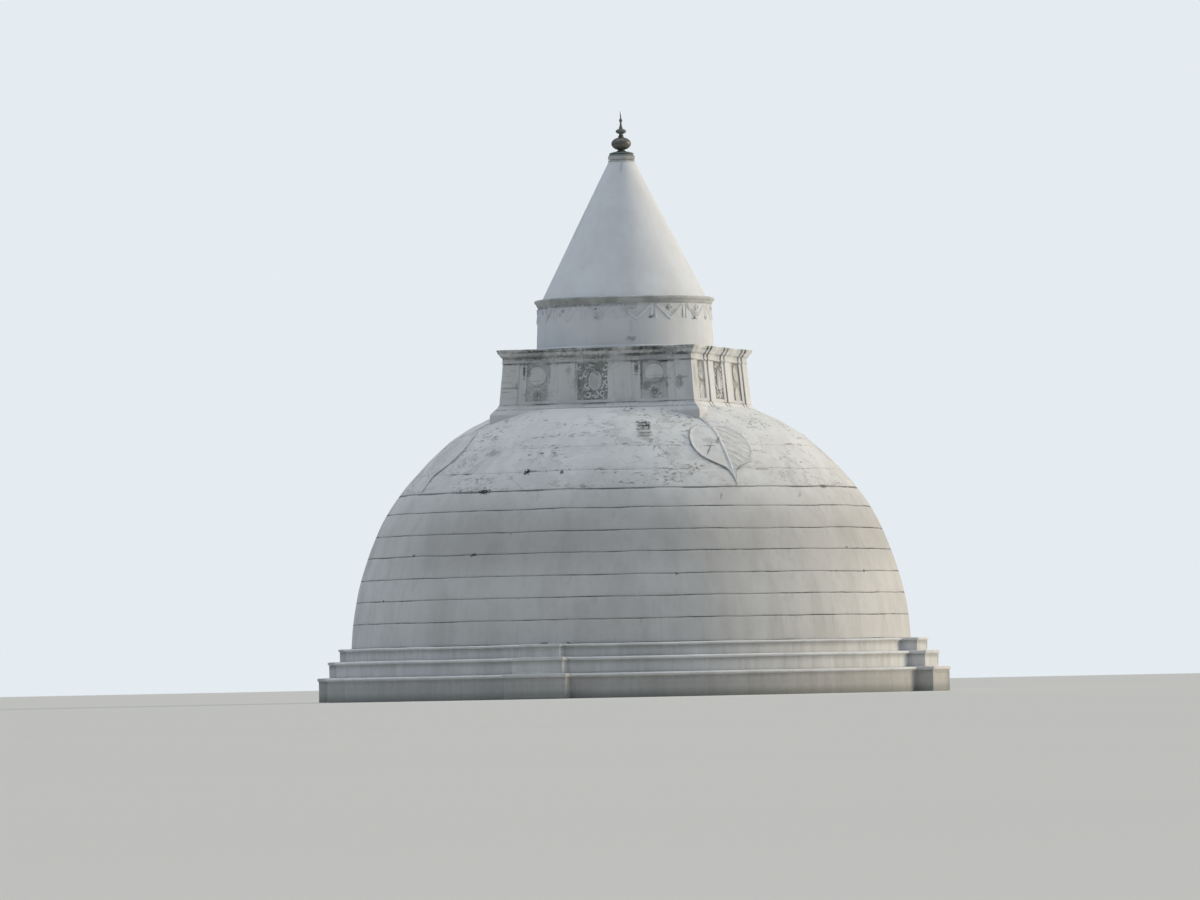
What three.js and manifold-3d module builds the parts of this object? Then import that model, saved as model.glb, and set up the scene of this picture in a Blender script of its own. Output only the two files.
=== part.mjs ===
// A whitewashed masonry stupa of the bubble form, as a scale model at half size.
// Three round terraces carry the dome, a square tower with panelled faces stands on the dome's
// flattened top, and a drum, a cone and a brass pinnacle rise from the tower.
// The origin is the centre of the underside. +Z is up and -Y is the front face.
import * as THREE from "three";
import { mergeVertices } from "three/addons/utils/BufferGeometryUtils.js";
import Module from "manifold-3d";

const wasm = await Module();
wasm.setup();

// Scale. Lengths below are metres on the full size monument, and METRE is one of them in
// millimetres of the model.
const MODEL_SCALE = 1 / 2;
const METRE = 1000 * MODEL_SCALE;
const GAP = 0.3 / METRE;
const MERGE_MM = 0.001;
const ROUND_SIDES = 64;
const SPIRE_SIDES = 48;
const COLLAR_SIDES = 32;
const ORB_SIDES = 24;
const SPIKE_SIDES = 12;
const QUARTER_TURN = Math.PI / 2;

// Terraces, from the ground up
const TERRACES = [
  { name: "terrace_lower", foot: 0, top: 2.3, radius: 29.2, nosing: 0.29, altarHalf: 2.98 },
  { name: "terrace_middle", foot: 2.3, top: 3.82, radius: 28.3, nosing: 0.26, altarHalf: 2.44 },
  { name: "terrace_upper", foot: 3.82, top: 5.04, radius: 27.4, nosing: 0.21, altarHalf: 1.87 },
];
const NOSING_OVERHANG = 0.2;
const NOSING_SLOPE = 0.35;
const NOSING_FACE = 0.55;
const ALTAR_PROJECTION = 1.3;
const ALTAR_OVERHANG = 0.1;
const ALTAR_BACK = 1.2;
const ALTAR_LAP = 0.1;

// Dome: an ellipse that eases into a flat platform under the tower
const DOME_RADIUS = 26.6;
const DOME_RISE = 26.35;
const DOME_CENTRE = 4.2;
const LIFT_JOINTS = [5.04, 7.3, 9.37, 11.4, 13.5, 15.5, 17.6, 19.45, 21.15, 23.4];
const CROWN_STEP_HEIGHT = 24.9;
const SHOULDER_RADIUS = 14.35;
const PLATFORM_RADIUS = 11.8;
const PLATFORM_HEIGHT = 27.2;
const SHOULDER_STEPS = 4;

// Leaf reliefs below the tower's corners
const LEAF_TOP = 25.25;
const LEAF_TIP = 19.5;
const LEAF_WIDTH = 6.6;
const LEAF_NOTCH = 0.42;
const LEAF_PROUD = 0.16;
const MIDRIB_PROUD = 0.27;
const MIDRIB_WIDTH = 0.34;
const STEM_LENGTH = 2.4;
const LEAF_CUT_DEPTH = 3;
const LEAF_CURVE_STEPS = 6;

// Square tower
const SKIRT_HALF = 10.35;
const SKIRT_FOOT = 25;
const SKIRT_BREAK = 26.85;
const SKIRT_TOP = 27.3;
const SKIRT_TOP_HALF = 9.95;
const PLINTH_HALF = 9.85;
const PLINTH_TOP_HALF = 9.45;
const BODY_FOOT = 27.9;
const BODY_TOP = 31.65;
const CORE_HALF = 9;
const BODY_HALF = 9.3;
const FRIEZE_HALF = 9.36;
const FRIEZE_TOP = 32.25;
const BED_HALF = 9.44;
const BED_TOP_HALF = 9.58;
const BED_TOP = 32.6;
const BED_STEP = 0.04;
const CORNICE_HALF = 9.68;
const CORNICE_EDGE = 0.28;
const TOWER_TOP = 33;

// Faces of the tower: three panels between two corner piers and two inner pilasters
const PIER_WIDTH = 2.15;
const PILASTER_INNER = 1.69;
const PILASTER_OUTER = 3.93;
const PANEL_DEPTH = 9.1;
const FRAME_DEPTH = 9.2;
const RAIL_DEPTH = 9.17;
const RAIL_FOOT = 0.06;
const RAIL_TOP = 0.26;
const RAIL_END = 0.05;
const BOSS_ROOT = 9.05;
const DISC_RADIUS = 1.02;
const DISC_DEPTH = 9.24;
const DISC_HEIGHT = 30.32;
const ROSETTE_RADIUS = 0.58;
const ROSETTE_HEIGHT = 28.85;
const OVAL_HALF_WIDTH = 0.72;
const OVAL_HALF_HEIGHT = 1.18;
const OVAL_HEIGHT = 29.9;
const MIDDLE_FRAME = 0.2;
const DISC_SIDES = 20;

// Drum and cone
const DRUM_FOOT_RADIUS = 8.56;
const DRUM_FOOT_TOP = 33.22;
const DRUM_LOWER_RADIUS = 8.45;
const FRIEZE_FOOT = 35.55;
const DRUM_UPPER_RADIUS = 8.24;
const DRUM_CORNICE_FOOT = 37.15;
const DRUM_CORNICE_RADIUS = 8.58;
const DRUM_CORNICE_LIP = 37.72;
const DRUM_TOP = 37.85;
const GARLAND_PROUD = 0.07;
const CONE_RADIUS = 7.85;
const CONE_TOP_RADIUS = 1.24;
const CONE_TOP = 50.95;

// Collar and pinnacle
const COLLAR_RADIUS = 1.3;
const COLLAR_GROOVE = 1.14;
const COLLAR_TOP = 51.7;
const FLANGE_TOP = 52.0;
const NECK_RADIUS = 0.36;
const ORB_CENTRE = 52.7;
const ORB_RADIUS = 0.94;
const ORB_HALF_HEIGHT = 0.65;
const SMALL_NECK_RADIUS = 0.26;
const SMALL_ORB_CENTRE = 53.86;
const SMALL_ORB_RADIUS = 0.49;
const SMALL_ORB_HALF_HEIGHT = 0.27;
const ORB_STEPS = 8;
const SPIKE_FOOT_RADIUS = 0.17;
const SPIKE_WAIST_RADIUS = 0.07;
const SPIKE_BULB_HEIGHT = 54.9;
const SPIKE_BULB_RADIUS = 0.14;
const SPIKE_TOP = 55.46;
const SPIKE_TIP_RADIUS = 0.04;
const CRYSTAL_WAIST = 55.6;
const CRYSTAL_RADIUS = 0.13;
const CRYSTAL_SIDES = 8;
const TIP = 55.8;

const plaster = new THREE.MeshStandardMaterial({ color: 0xc9ccd0, roughness: 0.85, metalness: 0 });
const agedPlaster = new THREE.MeshStandardMaterial({ color: 0xa9b0b2, roughness: 0.9, metalness: 0 });
const lichenPlaster = new THREE.MeshStandardMaterial({ color: 0x6f7a74, roughness: 0.92, metalness: 0 });
const agedBrass = new THREE.MeshStandardMaterial({ color: 0x82786f, roughness: 0.45, metalness: 0.8 });
const crystalGlass = new THREE.MeshStandardMaterial({ color: 0xdfe6ea, roughness: 0.1, metalness: 0 });

// A closed three.js geometry as a solid that can be joined and cut.
function solidOf(geometry) {
  const bare = geometry.clone();
  bare.deleteAttribute("normal");
  bare.deleteAttribute("uv");
  const merged = mergeVertices(bare, MERGE_MM);
  const mesh = new wasm.Mesh({
    numProp: 3,
    vertProperties: merged.attributes.position.array,
    triVerts: new Uint32Array(merged.index.array),
  });
  return new wasm.Manifold(mesh);
}

function geometryOf(solid) {
  const mesh = solid.getMesh();
  const geometry = new THREE.BufferGeometry();
  geometry.setAttribute("position", new THREE.BufferAttribute(new Float32Array(mesh.vertProperties), 3));
  geometry.setIndex(new THREE.BufferAttribute(new Uint32Array(mesh.triVerts), 1));
  geometry.computeVertexNormals();
  return geometry;
}

function joined(geometries) {
  return geometries.map(solidOf).reduce((whole, piece) => whole.add(piece));
}

// A profile of [radius, height] pairs, from the foot to the top, turned round the Z axis.
function turned(profile, sides = ROUND_SIDES) {
  const points = profile.map(([radius, height]) => new THREE.Vector2(radius * METRE, height * METRE));
  return new THREE.LatheGeometry(points, sides).rotateX(QUARTER_TURN);
}

// The same on a square plan, where the profile gives half of the side.
function squared(profile) {
  const points = profile.map(
    ([half, height]) => new THREE.Vector2(half * Math.SQRT2 * METRE, height * METRE),
  );
  return new THREE.LatheGeometry(points, 4, QUARTER_TURN / 2).rotateX(QUARTER_TURN);
}

// A profile moved outwards along its own normal.
function grown(profile, distance) {
  return profile.map(([radius, height], i) => {
    const before = profile[Math.max(i - 1, 0)];
    const after = profile[Math.min(i + 1, profile.length - 1)];
    const along = [after[0] - before[0], after[1] - before[1]];
    const length = Math.hypot(...along);
    const onAxis = radius === 0;
    const outwards = onAxis ? 0 : along[1] / length;
    const upwards = onAxis ? Math.sign(i) * 2 - 1 : -along[0] / length;
    return [radius + outwards * distance, height + upwards * distance];
  });
}

// A box between two corners.
function block(low, high) {
  const size = high.map((value, axis) => (value - low[axis]) * METRE);
  const middle = high.map((value, axis) => ((value + low[axis]) / 2) * METRE);
  return new THREE.BoxGeometry(...size).translate(...middle);
}

// A flat disc or oval that stands on the front wall and faces -Y.
function boss(x, z, halfWidth, halfHeight, back, front, sides = DISC_SIDES) {
  return new THREE.CylinderGeometry(1, 1, front - back, sides)
    .scale(halfWidth, 1, halfHeight)
    .translate(x, -(back + front) / 2, z)
    .scale(METRE, METRE, METRE);
}

const monument = new THREE.Group();

function place(name, geometry, material, turn = 0) {
  const mesh = new THREE.Mesh(geometry, material);
  mesh.name = name;
  mesh.rotation.z = turn;
  monument.add(mesh);
}

// The four faces, anticlockwise from the front as seen from above.
const FACES = ["front", "right", "back", "left"];
const CORNERS = ["front_right", "back_right", "back_left", "front_left"];

// Terraces
function terraceProfile({ foot, top, radius, nosing }) {
  return [
    [0, foot],
    [radius - NOSING_OVERHANG, foot],
    [radius - NOSING_OVERHANG, top - nosing],
    [radius, top - nosing],
    [radius, top - nosing * (1 - NOSING_FACE)],
    [radius - NOSING_SLOPE, top],
    [0, top],
  ];
}

for (const terrace of TERRACES) place(terrace.name, turned(terraceProfile(terrace)), plaster);

// Stepped altar blocks against the terraces, one on each face. Each tier is rooted a little way
// down in the tier below.
function altarTier({ foot, top, radius, nosing, altarHalf }) {
  const front = -(radius + ALTAR_PROJECTION);
  const back = -(radius - ALTAR_BACK);
  const root = Math.max(foot - ALTAR_LAP, 0);
  return [
    block([-altarHalf, front, root], [altarHalf, back, top - nosing / 2]),
    block(
      [-altarHalf - ALTAR_OVERHANG, front - ALTAR_OVERHANG, top - nosing],
      [altarHalf + ALTAR_OVERHANG, back - ALTAR_LAP, top],
    ),
  ];
}

function terraceCutter({ foot, top, radius, nosing }) {
  const wall = radius - NOSING_OVERHANG + GAP;
  const under = top - nosing - GAP;
  return turned([
    [0, foot - GAP],
    [wall, foot - GAP],
    [wall, under],
    [radius + GAP, under],
    [radius + GAP, top + GAP],
    [0, top + GAP],
  ]);
}

const altar = geometryOf(
  TERRACES.map(terraceCutter)
    .map(solidOf)
    .reduce((left, cutter) => left.subtract(cutter), joined(TERRACES.flatMap(altarTier))),
);
FACES.forEach((face, i) => place(face + "_altar", altar, plaster, i * QUARTER_TURN));

// Dome
function domeRadius(height) {
  return DOME_RADIUS * Math.sqrt(1 - ((height - DOME_CENTRE) / DOME_RISE) ** 2);
}

function domeHeight(radius) {
  return DOME_CENTRE + DOME_RISE * Math.sqrt(1 - (radius / DOME_RADIUS) ** 2);
}

// The shoulder, where the dome eases into the flat platform under the tower.
function shoulderHeight(radius) {
  const share = (radius - PLATFORM_RADIUS) / (SHOULDER_RADIUS - PLATFORM_RADIUS);
  return PLATFORM_HEIGHT - (PLATFORM_HEIGHT - domeHeight(SHOULDER_RADIUS)) * share ** 2;
}

function crownProfile() {
  const foot = LIFT_JOINTS.at(-1);
  const points = [foot, CROWN_STEP_HEIGHT].map((height) => [domeRadius(height), height]);
  for (let i = 0; i <= SHOULDER_STEPS; i += 1) {
    const radius = THREE.MathUtils.lerp(SHOULDER_RADIUS, PLATFORM_RADIUS, i / SHOULDER_STEPS);
    points.push([radius, shoulderHeight(radius)]);
  }
  return [...points, [0, PLATFORM_HEIGHT]];
}

LIFT_JOINTS.slice(0, -1).forEach((foot, i) => {
  const top = LIFT_JOINTS[i + 1];
  const lift = turned([
    [0, foot],
    [domeRadius(foot), foot],
    [domeRadius(top), top],
    [0, top],
  ]);
  place("dome_lift_" + (i + 1), lift, plaster);
});
place("dome_crown", turned([[0, LIFT_JOINTS.at(-1)], ...crownProfile()]), agedPlaster);

// The whole outside of the dome, grown by a distance, as one solid.
function wholeDome(distance) {
  const lifts = LIFT_JOINTS.slice(0, -1).map((height) => [domeRadius(height), height]);
  const outside = grown([...lifts, ...crownProfile()], distance);
  return solidOf(turned([[0, outside[0][1]], ...outside]));
}

// Leaf reliefs: a heart with a long drip tip, laid on the dome. The outline is drawn flat, with
// y up the slope from the leaf's middle, and cut out of a thin skin of the dome.
const leafTipRadius = domeRadius(LEAF_TIP);
const leafTopRadius = domeRadius(LEAF_TOP);
const leafLength = Math.hypot(LEAF_TOP - LEAF_TIP, leafTipRadius - leafTopRadius);
const leafSlope = Math.atan2(LEAF_TOP - LEAF_TIP, leafTipRadius - leafTopRadius);

function leafOutline() {
  const half = leafLength / 2;
  const side = LEAF_WIDTH / 2;
  const shape = new THREE.Shape();
  shape.moveTo(0, -half);
  shape.bezierCurveTo(0.07 * side, -0.62 * half, 0.42 * side, -0.5 * half, 0.72 * side, -0.14 * half);
  shape.bezierCurveTo(0.95 * side, 0.12 * half, 1.06 * side, 0.42 * half, 0.93 * side, 0.66 * half);
  shape.bezierCurveTo(0.76 * side, 1.02 * half, 0.28 * side, 1.1 * half, 0, half - LEAF_NOTCH);
  shape.bezierCurveTo(-0.28 * side, 1.1 * half, -0.76 * side, 1.02 * half, -0.93 * side, 0.66 * half);
  shape.bezierCurveTo(-1.06 * side, 0.42 * half, -0.95 * side, 0.12 * half, -0.72 * side, -0.14 * half);
  shape.bezierCurveTo(-0.42 * side, -0.5 * half, -0.07 * side, -0.62 * half, 0, -half);
  return shape;
}

function midribOutline() {
  const half = leafLength / 2;
  const side = MIDRIB_WIDTH / 2;
  return new THREE.Shape([
    new THREE.Vector2(0, -half * 0.9),
    new THREE.Vector2(side, half * 0.8),
    new THREE.Vector2(side, half + STEM_LENGTH),
    new THREE.Vector2(-side, half + STEM_LENGTH),
    new THREE.Vector2(-side, half * 0.8),
  ]);
}

function laidOnDome(shape, proud) {
  const middle = new THREE.Vector3(
    0,
    (-(leafTipRadius + leafTopRadius) / 2) * METRE,
    ((LEAF_TIP + LEAF_TOP) / 2) * METRE,
  );
  const across = new THREE.Vector3(1, 0, 0);
  const upSlope = new THREE.Vector3(0, Math.cos(leafSlope), Math.sin(leafSlope));
  const outwards = new THREE.Vector3().crossVectors(across, upSlope);
  const pose = new THREE.Matrix4().makeBasis(across, upSlope, outwards).setPosition(middle);
  const prism = new THREE.ExtrudeGeometry(shape, {
    depth: 2 * LEAF_CUT_DEPTH,
    curveSegments: LEAF_CURVE_STEPS,
    bevelEnabled: false,
  });
  prism.translate(0, 0, -LEAF_CUT_DEPTH).scale(METRE, METRE, METRE).applyMatrix4(pose);
  return solidOf(prism).intersect(wholeDome(proud));
}

const cornerRadius = SKIRT_HALF * Math.SQRT2;
const skirtCorner = solidOf(
  new THREE.CylinderGeometry(1, 1, 1, 4)
    .rotateX(QUARTER_TURN)
    .scale(cornerRadius + 2 * GAP, cornerRadius + 2 * GAP, 3 * DOME_RISE)
    .scale(METRE, METRE, METRE),
);
const leaf = geometryOf(
  laidOnDome(leafOutline(), LEAF_PROUD)
    .add(laidOnDome(midribOutline(), MIDRIB_PROUD))
    .subtract(wholeDome(GAP))
    .subtract(skirtCorner),
);
CORNERS.forEach((corner, i) => place("leaf_" + corner, leaf, plaster, (i + 0.5) * QUARTER_TURN));

// Foot of the tower: a skirt that hangs over the shoulder at its corners, and a plinth
const skirt = squared([
  [0, SKIRT_FOOT],
  [SKIRT_HALF, SKIRT_FOOT],
  [SKIRT_HALF, SKIRT_BREAK],
  [SKIRT_TOP_HALF, SKIRT_TOP],
  [0, SKIRT_TOP],
]);
place("tower_skirt", geometryOf(solidOf(skirt).subtract(wholeDome(GAP))), plaster);
const plinth = squared([
  [0, SKIRT_TOP],
  [PLINTH_HALF, SKIRT_TOP],
  [PLINTH_HALF, SKIRT_TOP + 0.12],
  [PLINTH_TOP_HALF, BODY_FOOT],
  [0, BODY_FOOT],
]);
place("tower_plinth", plinth, plaster);

// Body of the tower
const core = block([-CORE_HALF, -CORE_HALF, BODY_FOOT], [CORE_HALF, CORE_HALF, BODY_TOP]);
place("tower_core", core, agedPlaster);

function pierOutline() {
  const inner = CORE_HALF + GAP;
  const start = BODY_HALF - PIER_WIDTH;
  const points = [
    [start, -BODY_HALF],
    [BODY_HALF, -BODY_HALF],
    [BODY_HALF, -start],
    [inner, -start],
    [inner, -inner],
    [start, -inner],
  ];
  return new THREE.Shape(points.map(([x, y]) => new THREE.Vector2(x * METRE, y * METRE)));
}

const pier = upright(pierOutline());
CORNERS.forEach((corner, i) => place("pier_" + corner, pier, plaster, i * QUARTER_TURN));

const facingEnd = BODY_HALF - PIER_WIDTH - GAP;

// The plan of a facing: a wall with two pilasters, and the frame of the middle panel beside them.
function facingPlan() {
  const frame = PILASTER_INNER - MIDDLE_FRAME;
  const right = [
    [frame, PANEL_DEPTH],
    [frame, FRAME_DEPTH],
    [PILASTER_INNER, FRAME_DEPTH],
    [PILASTER_INNER, BODY_HALF],
    [PILASTER_OUTER, BODY_HALF],
    [PILASTER_OUTER, PANEL_DEPTH],
    [facingEnd, PANEL_DEPTH],
    [facingEnd, CORE_HALF + GAP],
  ];
  const left = right.map(([x, depth]) => [-x, depth]).reverse();
  const points = [...left, ...right];
  return new THREE.Shape(points.map(([x, depth]) => new THREE.Vector2(x * METRE, -depth * METRE)));
}

// The rails, discs, rosettes and oval that stand on it, rooted in the wall.
function facingReliefs() {
  const inner = PILASTER_OUTER - RAIL_END;
  const outer = facingEnd - RAIL_END;
  const spans = [
    [-outer, -inner],
    [-PILASTER_INNER - RAIL_END, PILASTER_INNER + RAIL_END],
    [inner, outer],
  ];
  const heights = [
    [BODY_FOOT + RAIL_FOOT, BODY_FOOT + RAIL_TOP],
    [BODY_TOP - RAIL_TOP, BODY_TOP - RAIL_FOOT],
  ];
  const rails = spans.flatMap(([start, end]) =>
    heights.map(([foot, top]) => block([start, -RAIL_DEPTH, foot], [end, -BOSS_ROOT, top])),
  );
  const middle = (PILASTER_OUTER + facingEnd) / 2;
  const round = [-middle, middle].flatMap((x) => [
    boss(x, DISC_HEIGHT, DISC_RADIUS, DISC_RADIUS, BOSS_ROOT, DISC_DEPTH),
    boss(x, ROSETTE_HEIGHT, ROSETTE_RADIUS, ROSETTE_RADIUS, BOSS_ROOT, DISC_DEPTH),
  ]);
  const oval = boss(0, OVAL_HEIGHT, OVAL_HALF_WIDTH, OVAL_HALF_HEIGHT, BOSS_ROOT, DISC_DEPTH);
  return [...rails, ...round, oval];
}

function upright(outline) {
  return new THREE.ExtrudeGeometry(outline, {
    depth: (BODY_TOP - BODY_FOOT) * METRE,
    bevelEnabled: false,
  }).translate(0, 0, BODY_FOOT * METRE);
}

const facing = geometryOf(joined([upright(facingPlan()), ...facingReliefs()]));
FACES.forEach((face, i) => place(face + "_facing", facing, agedPlaster, i * QUARTER_TURN));

// Frieze and cornice of the tower
const towerFrieze = squared([
  [0, BODY_TOP],
  [FRIEZE_HALF, BODY_TOP],
  [FRIEZE_HALF, FRIEZE_TOP],
  [0, FRIEZE_TOP],
]);
place("tower_frieze", towerFrieze, agedPlaster);
const towerCornice = squared([
  [0, FRIEZE_TOP],
  [BED_HALF, FRIEZE_TOP],
  [BED_TOP_HALF, BED_TOP],
  [BED_TOP_HALF + BED_STEP, BED_TOP],
  [CORNICE_HALF, TOWER_TOP - CORNICE_EDGE / 2],
  [CORNICE_HALF, TOWER_TOP - CORNICE_EDGE / 4],
  [CORNICE_HALF - CORNICE_EDGE, TOWER_TOP],
  [0, TOWER_TOP],
]);
place("tower_cornice", towerCornice, lichenPlaster);

// Drum
function drumRadius(height) {
  const share = (height - DRUM_FOOT_TOP) / (DRUM_CORNICE_FOOT - DRUM_FOOT_TOP);
  return THREE.MathUtils.lerp(DRUM_LOWER_RADIUS, DRUM_UPPER_RADIUS, share);
}

const drumFoot = turned([
  [0, TOWER_TOP],
  [DRUM_FOOT_RADIUS, TOWER_TOP],
  [DRUM_LOWER_RADIUS, DRUM_FOOT_TOP],
  [0, DRUM_FOOT_TOP],
]);
place("drum_foot", drumFoot, plaster);
const drumWall = turned([
  [0, DRUM_FOOT_TOP],
  [DRUM_LOWER_RADIUS, DRUM_FOOT_TOP],
  [drumRadius(FRIEZE_FOOT), FRIEZE_FOOT],
  [0, FRIEZE_FOOT],
]);
place("drum_wall", drumWall, plaster);
const garlandBand = turned([
  [0, FRIEZE_FOOT],
  [drumRadius(FRIEZE_FOOT) + GARLAND_PROUD, FRIEZE_FOOT],
  [DRUM_UPPER_RADIUS + GARLAND_PROUD, DRUM_CORNICE_FOOT],
  [0, DRUM_CORNICE_FOOT],
]);
place("garland_band", garlandBand, agedPlaster);
const drumCornice = turned([
  [0, DRUM_CORNICE_FOOT],
  [DRUM_UPPER_RADIUS + GARLAND_PROUD, DRUM_CORNICE_FOOT],
  [DRUM_CORNICE_RADIUS, DRUM_CORNICE_LIP],
  [DRUM_CORNICE_RADIUS, (DRUM_CORNICE_LIP + DRUM_TOP) / 2],
  [CONE_RADIUS, DRUM_TOP],
  [0, DRUM_TOP],
]);
place("drum_cornice", drumCornice, lichenPlaster);

// Cone and collar
const cone = turned(
  [
    [0, DRUM_TOP],
    [CONE_RADIUS, DRUM_TOP],
    [CONE_TOP_RADIUS, CONE_TOP],
    [0, CONE_TOP],
  ],
  SPIRE_SIDES,
);
place("cone_spire", cone, plaster);
const collarStep = (COLLAR_TOP - CONE_TOP) / 5;
const collar = turned(
  [
    [0, CONE_TOP],
    [COLLAR_RADIUS, CONE_TOP],
    [COLLAR_RADIUS, CONE_TOP + 2 * collarStep],
    [COLLAR_GROOVE, CONE_TOP + 2.3 * collarStep],
    [COLLAR_GROOVE, CONE_TOP + 2.7 * collarStep],
    [COLLAR_RADIUS, CONE_TOP + 3 * collarStep],
    [COLLAR_RADIUS, COLLAR_TOP - collarStep / 2],
    [COLLAR_GROOVE, COLLAR_TOP],
    [0, COLLAR_TOP],
  ],
  COLLAR_SIDES,
);
place("spire_collar", collar, plaster);

// Pinnacle
function orbProfile(centre, radius, halfHeight, neckBelow, neckAbove) {
  const from = -Math.acos(neckBelow / radius);
  const to = Math.acos(neckAbove / radius);
  const points = [];
  for (let i = 0; i <= ORB_STEPS; i += 1) {
    const angle = THREE.MathUtils.lerp(from, to, i / ORB_STEPS);
    points.push([radius * Math.cos(angle), centre + halfHeight * Math.sin(angle)]);
  }
  return points;
}

function capped(profile) {
  return [[0, profile[0][1]], ...profile, [0, profile.at(-1)[1]]];
}

const greatOrb = orbProfile(ORB_CENTRE, ORB_RADIUS, ORB_HALF_HEIGHT, NECK_RADIUS, SMALL_NECK_RADIUS);
const smallOrb = orbProfile(
  SMALL_ORB_CENTRE,
  SMALL_ORB_RADIUS,
  SMALL_ORB_HALF_HEIGHT,
  SMALL_NECK_RADIUS,
  SPIKE_FOOT_RADIUS,
);
const orbNeck = [SMALL_NECK_RADIUS, smallOrb[0][1]];
const flange = [
  [COLLAR_GROOVE - 0.06, COLLAR_TOP],
  [COLLAR_GROOVE - 0.16, COLLAR_TOP + 0.14],
  [COLLAR_GROOVE - 0.45, FLANGE_TOP - 0.06],
  [NECK_RADIUS, FLANGE_TOP],
  [NECK_RADIUS, greatOrb[0][1]],
];
const spike = [
  [SPIKE_FOOT_RADIUS, smallOrb.at(-1)[1]],
  [SPIKE_WAIST_RADIUS, SPIKE_BULB_HEIGHT - 0.16],
  [SPIKE_BULB_RADIUS, SPIKE_BULB_HEIGHT - 0.05],
  [SPIKE_BULB_RADIUS, SPIKE_BULB_HEIGHT + 0.05],
  [SPIKE_WAIST_RADIUS, SPIKE_BULB_HEIGHT + 0.16],
  [SPIKE_TIP_RADIUS, SPIKE_TOP],
];
const crystal = [
  [0, SPIKE_TOP],
  [SPIKE_TIP_RADIUS, SPIKE_TOP],
  [CRYSTAL_RADIUS, CRYSTAL_WAIST],
  [0, TIP],
];
place("pinnacle_flange", turned(capped(flange), ORB_SIDES), agedBrass);
place("great_orb", turned(capped([...greatOrb, orbNeck]), ORB_SIDES), agedBrass);
place("small_orb", turned(capped(smallOrb), ORB_SIDES), agedBrass);
place("finial_spike", turned(capped(spike), SPIKE_SIDES), agedBrass);
place("crystal_tip", turned(crystal, CRYSTAL_SIDES), crystalGlass);

export default monument;
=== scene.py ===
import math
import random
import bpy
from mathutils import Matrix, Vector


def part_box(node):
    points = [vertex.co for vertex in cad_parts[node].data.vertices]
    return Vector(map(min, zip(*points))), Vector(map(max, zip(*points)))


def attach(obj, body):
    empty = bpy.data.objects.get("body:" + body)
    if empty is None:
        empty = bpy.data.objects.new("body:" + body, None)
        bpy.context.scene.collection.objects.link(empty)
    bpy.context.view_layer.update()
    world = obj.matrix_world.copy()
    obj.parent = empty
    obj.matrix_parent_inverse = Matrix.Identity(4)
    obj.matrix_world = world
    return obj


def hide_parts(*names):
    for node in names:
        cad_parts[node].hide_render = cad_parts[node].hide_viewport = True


bl_info = {
    "name": "Stupa at half size",
    "version": (1, 0, 0),
    "blender": (4, 5, 0),
    "location": "View3D > Sidebar > Stupa",
    "description": "Whitewashed stupa with leaf reliefs, a square tower, a cone and a pinnacle",
    "category": "Add Mesh",
}

from contextlib import contextmanager
from functools import lru_cache

import bmesh
import bpy
from mathutils import Matrix, Vector

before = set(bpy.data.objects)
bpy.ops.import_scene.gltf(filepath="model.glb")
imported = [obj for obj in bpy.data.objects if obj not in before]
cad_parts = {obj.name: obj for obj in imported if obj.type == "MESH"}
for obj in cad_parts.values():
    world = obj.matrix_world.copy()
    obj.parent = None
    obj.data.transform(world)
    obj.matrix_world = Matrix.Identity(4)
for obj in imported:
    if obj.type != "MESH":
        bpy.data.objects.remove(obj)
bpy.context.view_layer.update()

# Lengths are metres on the half size model.
FRONT = Vector((0, -1, 0))
FACES = ("front", "right", "back", "left")
CORNERS = ("front_right", "back_right", "back_left", "front_left")
QUARTER_TURN = math.pi / 2
ROUND_SIDES = 256
DOME_SIDES = 512
LIFT_COUNT = 9
SIDES = tuple(Vector(way) for way in ((0, -1, 0), (0, 1, 0), (-1, 0, 0), (1, 0, 0)))
BEYOND = 9  # farther out than the tower's corners, and farther up than the last joint
TOUCH = 1e-4  # points closer than this are on the same plane
ROPE_DEPTH = 0.6  # how deep a moulded strand is for its width
IMAGE_WIDTH, IMAGE_HEIGHT = 1200, 900  # of the photograph, in pixels
AXIS_PIXEL, HORIZON_PIXEL = 627.3, 679.3  # where the part's axis and the horizon lie in it


@lru_cache(None)
def foot_of(node):
    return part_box(node)[0].z


@lru_cache(None)
def top_of(node):
    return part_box(node)[1].z


@lru_cache(None)
def half_of(node):
    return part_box(node)[1].x


def from_srgb(red, green, blue):
    """The linear colour of an 8-bit display colour."""
    shares = (red / 255, green / 255, blue / 255)
    return tuple(s / 12.92 if s <= 0.04045 else ((s + 0.055) / 1.055) ** 2.4 for s in shares)


def length(name, description, default):
    return bpy.props.FloatProperty(name=name, description=description, default=default, unit="LENGTH")


def angle(name, description, degrees):
    return bpy.props.FloatProperty(
        name=name, description=description, default=math.radians(degrees), subtype="ANGLE"
    )


def number(name, description, default):
    return bpy.props.FloatProperty(name=name, description=description, default=default)


def tint(name, description, *display_colour):
    return bpy.props.FloatVectorProperty(
        name=name,
        description=description,
        default=from_srgb(*display_colour),
        subtype="COLOR",
        size=3,
        min=0,
        max=1,
    )


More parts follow.
